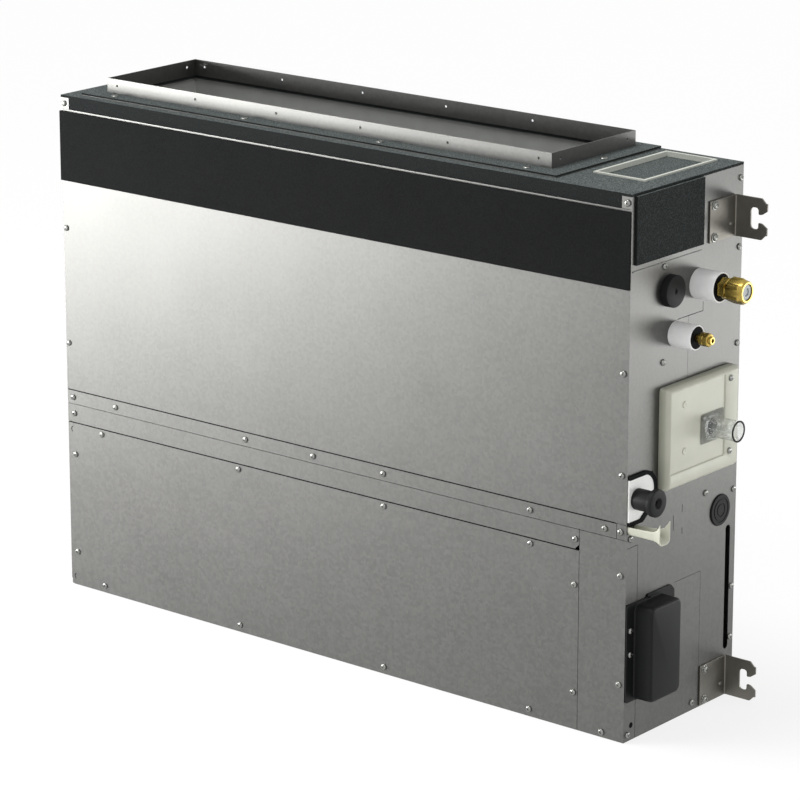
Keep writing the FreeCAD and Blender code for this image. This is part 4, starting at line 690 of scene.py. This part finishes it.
rings = [rim_at(cap_edge, *step) for step in (
    (-1.2, 10.0, 2.0), (-0.3, 9.5, 2.8), (0.0, 9.0, 4.0), (0.2, 8.5, 15.0), (0.4, 8.0, 21.6),
    (0.9, 8.0, 23.5), (1.9, 7.5, 24.6), (3.2, 7.0, cap_height))]
foot = softened(rectangle(-104.4, 46.5, -60.0, 160.0), 3.0)
ear = softened([(-66.0, 127.0), (-15.0, 127.0), (-15.0, 156.0, 5.0), (-22.0, 163.0, 5.0), (-66.0, 163.0)],
               2.0)
shapes = [skin(rings), plate(foot, 0.0, flange_sheet, right_face), plate(ear, 0.0, flange_sheet, right_face)]
build("wiring_cover_moulded", shapes, black_plastic, replaces=["wiring_cover"])
shapes = [screw(on_side(y, z, flange_sheet)) for y, z in cap_screws]
build("wiring_cover_screws", shapes, bright_steel)

# Painted shade in the casing: a small hole and three slits in the right side, the seams above and below the
# lower front panel, and the edges of two dimples, each a thin black strip that lies on the sheet where shade
# falls.
shade_strip = (0.02, 0.05)
hole_spot = (-91.1, 17.3)
hole_radius = 3.3
slit_shades = [(-0.5, 241.0, 250.0), (-17.0, 223.5, 241.0), (0.0, 215.5, 222.5)]
slit_shade_half = 0.4
seam_shades = [(250.7, 408.5), (209.3, 358.5)]
seam_shade_height = 1.4
dimple_x = -413.7
dimple_levels = (201.4, 10.7)
dimple_radius = 4.0
dimple_inside = 3.2

shapes = [turned([(up, hole_radius) for up in shade_strip], on_side(*hole_spot), 32)]
for y, low, high in slit_shades:
    shapes.append(plate(rectangle(y - slit_shade_half, low, y + slit_shade_half, high), *shade_strip, right_face))
# The seams' painted shade: a black strip 1.4 mm high that darkens the gap between the folded edges.
for low, right in seam_shades:
    seam_shade = rectangle(1 - half_width, low, right, low + seam_shade_height)
    shapes.append(plate(seam_shade, *shade_strip, facing("front", 0, -half_depth, 0)))
turns = [1.9 + 0.2 * i for i in range(13)]
outer = [(dimple_radius * math.cos(a), dimple_radius * math.sin(a)) for a in turns]
inner = [(dimple_inside * math.cos(a) + 0.3, dimple_inside * math.sin(a)) for a in reversed(turns)]
shapes += [plate(outer + inner, *shade_strip, facing("front", dimple_x, -half_depth, z)) for z in dimple_levels]
build("casing_painted_shade_marks", shapes, painted_shade_black)

# The coil: a leaning slab of thin aluminium fins pressed on two rows of copper tube, closed by return bends
# at both ends. Real fins stand about 1.5 mm apart; these are a little wider apart, so that they can be seen.
coil_ends = (-388.0, 298.0)
coil_foot = Vector((0.0, -73.5, 287.0))
coil_head = Vector((0.0, 74.5, 577.0))
coil_thickness = 44.0
end_sheet = 1.2
fin_pitch = 2.3
fin_sheet = 0.22
tube_radius = 4.76
tube_pitch = 25.4
row_half = 11.0
tube_count = 12
circuit_starts = (0, 4, 8)
coil_up = (coil_head - coil_foot).normalized()
coil_out = Vector((0.0, coil_up.z, -coil_up.y))
coil_length = (coil_head - coil_foot).length

# Aluminium, stamped from thin coated strip: pale and cool, half bright, with a faint slow ripple. The wave
# node turns 20 radians a unit, so one ripple is 2 pi tube pitches long.
fin_aluminium, tree = new_finish("aluminium_fin_stamped")
place = add(tree, "TexCoord", {}).outputs["Object"]
ripple = add(tree, "TexWave", {"Vector": place, "Scale": 1000 / tube_pitch / 20, "Distortion": 1.0},
             bands_direction="Z")
dull = add(tree, "TexNoise", {"Vector": place, "Scale": 1000 / 12.0, "Detail": 3.0})
tone = add(tree, "Mix", {"Factor": dull, 6: "#b4b8ba", 7: "#d3d6d7"}, data_type="RGBA")
matt = add(tree, "MapRange", {"Value": dull, "To Min": 0.28, "To Max": 0.4})
bump = add(tree, "Bump", {"Height": ripple, "Strength": 0.2, "Distance": 0.0005})
shader = add(tree, "BsdfPrincipled", {"Base Color": tone, "Metallic": 1.0, "Roughness": matt, "Normal": bump})
add(tree, "OutputMaterial", {"Surface": shader})

# Copper tube, drawn and brazed: warm red metal with browner, duller clouds from the heat.
copper = mottled("copper_tube_drawn", ("#8a4a30", "#d28a63"), (15.0, 4.0), (0.42, 0.22),
                 more={"Metallic": 1.0})


def tube_spot(x, index, row):
    """Where a tube's middle is at some x: its index counts from the foot, and its row is -1 or 1."""
    along = (coil_length - (tube_count - 1) * tube_pitch) / 2 + index * tube_pitch
    return Vector((x, 0, 0)) + coil_foot + coil_up * along + coil_out * (row * row_half)


def hose(path, radius, sides=16):
    """A round bar along a path, its section carried on from point to point without a twist."""
    rings = []
    side = None
    for i, spot in enumerate(path):
        ahead = (path[min(i + 1, len(path) - 1)] - path[max(i - 1, 0)]).normalized()
        if side is None:
            side = ahead.orthogonal().normalized()
        side = (side - ahead * side.dot(ahead)).normalized()
        other = ahead.cross(side)
        turns = [2 * math.pi * j / sides for j in range(sides)]
        rings.append([spot + side * (radius * math.cos(a)) + other * (radius * math.sin(a)) for a in turns])
    return skin(rings)


def return_bend(first, second, way):
    """Half a circle of tube from one tube end to the next."""
    centre = (first + second) / 2
    arm = first - centre
    out = Vector((way * arm.length, 0, 0))
    turns = [math.pi * i / 12 for i in range(13)]
    return hose([centre + arm * math.cos(a) + out * math.sin(a) for a in turns], tube_radius)


lean = Matrix.Translation(coil_foot) @ Matrix((coil_out, coil_up, (1, 0, 0))).transposed().to_4x4()
half = coil_thickness / 2
fin = rectangle(-half, 0.0, half, coil_length)
shapes = []
for i in range(int((coil_ends[1] - coil_ends[0]) / fin_pitch)):
    x = coil_ends[0] + (i + 0.5) * fin_pitch
    shapes.append(plate(fin, x, x + fin_sheet, lean))
for row in (-1, 1):
    for index in range(tube_count):
        shapes.append(hose([tube_spot(x, index, row) for x in coil_ends], tube_radius + 0.4, 12))
build("coil_fins_stamped", shapes, fin_aluminium, replaces=["coil_fins"])

shapes = []
left = coil_ends[0] - end_sheet
right = coil_ends[1] + end_sheet
for row in (-1, 1):
    for index in range(0, tube_count - 1, 2):
        shapes.append(return_bend(tube_spot(left, index, row), tube_spot(left, index + 1, row), -1))
    for index in circuit_starts:
        shapes.append(return_bend(tube_spot(right, index + 1, row), tube_spot(right, index + 2, row), 1))
for index in circuit_starts:
    shapes.append(return_bend(tube_spot(right, index + 3, -1), tube_spot(right, index + 3, 1), 1))
    end = tube_spot(right, index, 1)
    shapes.append(hose([end, end + Vector((3, 0, 0))], tube_radius))
build("coil_bends_drawn", shapes, copper, replaces=["coil_bends"])

# The pipework beside the coil: a copper header that gathers the gas and runs out through the side, and a
# brass distributor on the liquid pipe that feeds each circuit through a thin copper capillary.
header_x = 332.0
header_radius = 9.5
header_low = 9.1
header_top = 240.3
gas_pipe_end = 459.0
liquid_pipe_end = 455.0
distributor_x = (352.5, 374.5)

foot = coil_foot + coil_out * -row_half + Vector((header_x, 0, 0))
axis = Matrix.Translation(foot) @ coil_up.to_track_quat("Z", "Y").to_matrix().to_4x4()
shapes = [turned([(header_low, 4.0), (header_low + 0.6, 7.0), (header_low + 2.4, 9.0),
                  (header_low + 4.5, header_radius), (header_top - 4.5, header_radius),
                  (header_top - 2.4, 9.0), (header_top - 0.6, 7.0), (header_top, 4.0)], axis, 32)]
for index in circuit_starts:
    start = tube_spot(right, index, -1)
    shapes.append(hose([start, Vector((header_x - 3, start.y, start.z))], tube_radius))
build("gas_header_drawn", shapes, copper, replaces=["gas_header"])
for name, start, end, axis, radius, sides in (
        ("gas_pipe", header_x + 9, gas_pipe_end, gas_axis, gas_pipe_radius, 32),
        ("liquid_pipe", distributor_x[1], liquid_pipe_end, liquid_axis, liquid_pipe_radius, 24)):
    run = hose([Vector((x, *axis)) for x in (start, end)], radius, sides)
    build(name + "_drawn", [run], copper, replaces=[name])


def eased(points, rounds=3):
    """A path with its corners cut again and again, so that it bends like thin tube."""
    for _ in range(rounds):
        cut = [points[0]]
        for a, b in zip(points, points[1:]):
            cut += [a * 0.75 + b * 0.25, a * 0.25 + b * 0.75]
        points = cut + [points[-1]]
    return points


liquid_spot = Vector((0, *liquid_axis))
offset = (liquid_spot - coil_foot).dot(coil_out)
shapes = []
for i, index in enumerate(circuit_starts):
    start = liquid_spot + Vector((distributor_x[0] + 1, 0, 0)) + coil_up * ((i - 1) * 4.5)
    goal = tube_spot(right + 3, index, 1)
    along = (goal - coil_foot).dot(coil_up) + tube_pitch / 2
    beside = coil_foot + coil_up * along + Vector((right + 8, 0, 0))
    stops = [start, start - Vector((11, 0, 0)), beside + coil_out * offset, beside + coil_out * row_half,
             goal + Vector((3, 0, 0)), goal]
    shapes.append(hose(eased(stops), 1.5, 12))
build("capillaries_drawn", shapes, copper)
spot = facing("right", distributor_x[0], *liquid_axis)
cone = turned([(0.0, 8.2), (0.8, 9.0), (4.0, 9.0), (5.0, 8.4), (17.0, 5.2), (18.0, 5.0), (21.2, 5.0),
               (22.0, 4.4)], spot, 48)
build("distributor_turned", [cone], brass, replaces=["distributor"])

# The fans: two double-inlet wheels of black plastic on one ground shaft, each in a scroll split at the shaft,
# and the motor between them, held in rubber rings by two folded hangers.
fan_axis = (9.0, 110.0)
fan_middles = {"left": -236.4, "right": 185.6}
motor_middle = -25.4
wheel_half = 86.0
wheel_radius = 75.0
blade_root = 62.4
blade_tip = 74.3
blades = 38

dress(["scroll_uppers", "scroll_lowers"], black_plastic, 0.4)
dress(["fan_shaft"], bright_steel, 0.3)
dress(["motor_rings"], rubber, 0.5)
dress(["motor_bracket"], galvanised, 0.3)

for name, middle in fan_middles.items():
    spot = facing("right", middle, *fan_axis)
    shapes = [turned([(-1.0, 15.0), (-1.0, wheel_radius), (1.0, wheel_radius), (1.0, 15.0)], spot, 96,
                     loop=True),
              turned([(-14, 6.4), (-14, 12.5), (-12.5, 14.0), (-2, 14.0), (-1, 16.0), (1, 16.0), (2, 14.0),
                      (12.5, 14.0), (14, 12.5), (14, 6.4)], spot, 48, loop=True)]
    for way in (-1, 1):
        low, high = sorted((way * wheel_half, way * (wheel_half - 2.0)))
        shapes.append(turned([(low, 62.2), (low, 74.2), (low + 0.6, wheel_radius), (high - 0.6, wheel_radius),
                              (high, 74.2), (high, 62.2)], spot, 96, loop=True))
        low, high = sorted((way * 1.0, way * (wheel_half - 2.0)))
        for i in range(blades):
            front = []
            back = []
            for k in range(5):
                reach = blade_root + (blade_tip - blade_root) * k / 4
                turn = 2 * math.pi * (i + 0.5 * (way > 0)) / blades + 0.11 * (k / 4) ** 2
                front.append((reach * math.cos(turn), reach * math.sin(turn)))
                back.append((reach * math.cos(turn + 0.014), reach * math.sin(turn + 0.014)))
            shapes.append(plate(front + back[::-1], low, high, spot))
    build("fan_wheel_%s_bladed" % name, shapes, black_plastic, body="fan_rotor",
          replaces=["fan_wheel_" + name])

# Steel, stove painted: smooth black with a slight orange peel and a dull gloss.
black_paint = mottled("steel_stove_painted_black", ("#1a1a1b", "#242526"), (2.5, 2.0), 0.35, (0.15, 0.0003))

spot = facing("right", motor_middle, *fan_axis)
side = [(54.0, 6.2), (54.0, 22.4), (52.4, 24.0), (41.5, 24.0), (40.6, 26.0), (40.0, 34.0), (39.6, 50.0),
        (38.2, 53.4), (35.0, 55.0), (24.0, 55.0), (23.4, 54.3), (22.0, 54.3), (21.4, 55.0)]
shell = turned(side + [(-up, radius) for up, radius in side[::-1]], spot, 96, loop=True)
build("fan_motor_turned", [shell], black_paint, replaces=["fan_motor"])

# The drain pump with its float switch, hung from a shelf inside the pipe side: moulded plastic parts, with a
# ring of white foam as the float.
dress(["drain_pump"], black_plastic, 0.5)
dress(["pump_impeller", "float_switch"], cream, 0.4)
dress(["float_ring"], white_foam, 0.8)

# The control box: a folded tray with the circuit board on spacers, carrying its transformer, relays,
# capacitors and wire-to-board connectors, and a barrier block with brass screws.
board_x = (366.5, 368.1)
board_y = (-90.0, 22.0)
board_z = (66.0, 216.0)

dress(["control_box"], galvanised, 0.3)
dress(["terminal_block"], black_plastic, 0.4)

# Glass-epoxy laminate, coated green: glossy over a fine weave, with paler tracks on it about 1.5 mm wide.
laminate, tree = new_finish("glass_epoxy_laminate_coated")
place = add(tree, "TexCoord", {}).outputs["Object"]
tracks = add(tree, "TexBrick", {"Vector": place, "Scale": 1000 / 12.0, "Mortar Size": 0.06,
                                "Color1": "#1d4a2c", "Color2": "#23552f", "Mortar": "#4e8a4d"})
shader = add(tree, "BsdfPrincipled", {"Base Color": tracks, "Roughness": 0.28})
add(tree, "OutputMaterial", {"Surface": shader})

level = facing("right", 0, 0, 0)


def block(y, z, width, length, low, high):
    """A component standing on the board: a rounded rectangle from one height to another."""
    return plate(softened(rectangle(y, z, y + width, z + length), 1.2, 3), low, high, level)


shapes = [block(board_y[0], board_z[0], board_y[1] - board_y[0], board_z[1] - board_z[0], *board_x)]
for y in (-84.0, 16.0):
    for z in (72.0, 210.0):
        shapes.append(turned([(-6.0, 3.0), (0.0, 3.0), (2.2, 2.6)], facing("right", board_x[0], y, z), 24))
piece = build("circuit_board_laminate", shapes, laminate, replaces=["circuit_board"])
round_edges(piece, 0.2)
face = board_x[1]
shapes = [block(-82.0, 172.0, 32.0, 32.0, face, face + 20.0)]
shapes += [block(-82.0 + 26.0 * i, 78.0, 16.0, 22.0, face, face + 13.0) for i in range(4)]
for z in (126.0, 150.0):
    can = facing("right", face, -28.0, z)
    shapes.append(turned([(0.0, 8.0), (1.6, 8.0), (2.2, 7.5), (2.8, 8.0), (15.4, 8.0), (16.0, 7.4),
                          (15.7, 6.4)], can, 48))
piece = build("circuit_board_components", shapes, black_plastic)
round_edges(piece, 0.5)
shapes = [block(7.0, 110.0 + 20.0 * i, 9.0, 14.0, face, face + 9.0) for i in range(5)]
piece = build("circuit_board_connectors", shapes, white_plastic)
round_edges(piece, 0.4)
shapes = [screw(facing("front", 372.1 + 9.2 * i, 32.0, 29.0), 3.0, 2.0) for i in range(5)]
build("terminal_screws", shapes, brass)

# The air filter: a black plastic frame with ribs that holds a woven net, slid into the rails of the return.
# The real net is finer than 1 mm; it is drawn at 4 mm so that its threads can be seen.
filter_x = (-400.0, 338.0)
filter_y = 86.0
filter_z = (1.0, 9.0)
filter_bar = 10.0
rib_half = 2.0
rib_z = (7.6, 8.9)
net_z = 7.5
net_pitch = 4.0
net_thread = 0.7

level = Matrix()
hole_x = (filter_x[0] + filter_bar, filter_x[1] - filter_bar)
hole_y = filter_y - filter_bar
bars = [(filter_x[0], -filter_y, hole_x[0], filter_y), (hole_x[1], -filter_y, filter_x[1], filter_y),
        (hole_x[0], -filter_y, hole_x[1], -hole_y), (hole_x[0], hole_y, hole_x[1], filter_y)]
shapes = [plate(rectangle(*bar), *filter_z, level) for bar in bars]
for i in range(1, 5):
    x = filter_x[0] + (filter_x[1] - filter_x[0]) * i / 5
    shapes.append(plate(rectangle(x - rib_half, -hole_y, x + rib_half, hole_y), *rib_z, level))
piece = build("air_filter_frame", shapes, black_plastic, replaces=["air_filter"])
round_edges(piece, 0.5)
shapes = []
thin = net_thread / 2
for i in range(int((hole_x[1] - hole_x[0]) / net_pitch)):
    x = hole_x[0] + (i + 0.5) * net_pitch
    shapes.append(plate(rectangle(x - thin, -hole_y, x + thin, hole_y), net_z - thin, net_z, level))
for i in range(int(2 * hole_y / net_pitch)):
    y = -hole_y + (i + 0.5) * net_pitch
    shapes.append(plate(rectangle(hole_x[0], y - thin, hole_x[1], y + thin), net_z, net_z + thin, level))
build("air_filter_net", shapes, black_plastic)

# The studio: a plain pale paper floor, an even surround, a broad soft sun from the upper left, a big softbox
# low at the left that the front panel mirrors as a bright patch, a weak one low at the right, and a fill
# from above.
floor_half = 40.0
floor_level = -0.0005


def seen_part(tree):
    """1 for what the camera sees straight, in a mirror or through something clear, and 0 for what lights."""
    rays = add(tree, "LightPath", {})
    seen = add(tree, "Math", {0: rays.outputs["Is Camera Ray"], 1: rays.outputs["Is Glossy Ray"]},
               operation="MAXIMUM")
    return add(tree, "Math", {0: seen, 1: rays.outputs["Is Transmission Ray"]}, operation="MAXIMUM")


# Paper, pulped and rolled: pale and matt, and bright by itself to the eye, so that it shows no edge.
paper, tree = new_finish("paper_backdrop_pale")
share = add(tree, "Math", {0: seen_part(tree), 1: 0.8}, operation="MULTIPLY")
pale = add(tree, "BsdfDiffuse", {"Color": "#f7f7f7"})
white = add(tree, "Emission", {"Color": "#ffffff", "Strength": 1.0})
both = add(tree, "MixShader", {0: share, 1: pale, 2: white})
add(tree, "OutputMaterial", {"Surface": both})
mesh = bpy.data.meshes.new("studio_floor")
corners = [(x, y, floor_level) for x, y in rectangle(-floor_half, -floor_half, floor_half, floor_half)]
mesh.from_pydata(corners, [], [(0, 1, 2, 3)])
mesh.materials.append(paper)
floor = bpy.data.objects.new("studio_floor", mesh)
bpy.context.scene.collection.objects.link(floor)

world = bpy.data.worlds.new("studio_surround")
world.use_nodes = True
tree = world.node_tree
tree.nodes.clear()
strength = add(tree, "MapRange", {"Value": seen_part(tree), "To Min": 0.5, "To Max": 1.0})
light = add(tree, "Background", {"Color": "#ffffff", "Strength": strength})
add(tree, "OutputWorld", {"Surface": light})
bpy.context.scene.world = world


def lamp(name, kind, where, target, **settings):
    """A lamp aimed at a point."""
    made = bpy.data.lights.new(name, kind)
    for setting, value in settings.items():
        setattr(made, setting, value)
    holder = bpy.data.objects.new(name, made)
    holder.location = where
    holder.rotation_euler = (Vector(target) - Vector(where)).to_track_quat("-Z", "Y").to_euler()
    holder.visible_camera = False
    bpy.context.scene.collection.objects.link(holder)


lamp("sun_soft", "SUN", (-1.2, -0.8, 3.6), (0.0, 0.0, 0.0), energy=1.6, angle=math.radians(25))
lamp("softbox_left", "AREA", (-1.7, -1.45, 0.32), (-0.5, -0.2, 0.26), shape="SQUARE", size=0.95, energy=68.0)
lamp("softbox_right", "AREA", (1.15, 1.0, 0.16), (0.4, 0.0, 0.34), shape="RECTANGLE", size=0.8, size_y=0.3,
     energy=4.6)
lamp("softbox_fill", "AREA", (2.2, -1.8, 1.9), (0.4, 0.0, 0.4), shape="SQUARE", size=1.2, energy=13.0)

# The camera, fitted to the casing's corners in the photograph: seen from the right front and a little above.
lens = bpy.data.cameras.new("studio_camera")
lens.lens = 160.7
lens.sensor_width = 36.0
lens.shift_y = -0.15
lens.clip_end = 100.0
camera = bpy.data.objects.new("studio_camera", lens)
camera.location = (2.566, -3.103, 1.466)
camera.rotation_euler = (math.radians(90 - 14.34), 0.0, math.radians(39.38))
bpy.context.scene.collection.objects.link(camera)
bpy.context.scene.camera = camera
bpy.context.scene.view_settings.view_transform = "Standard"
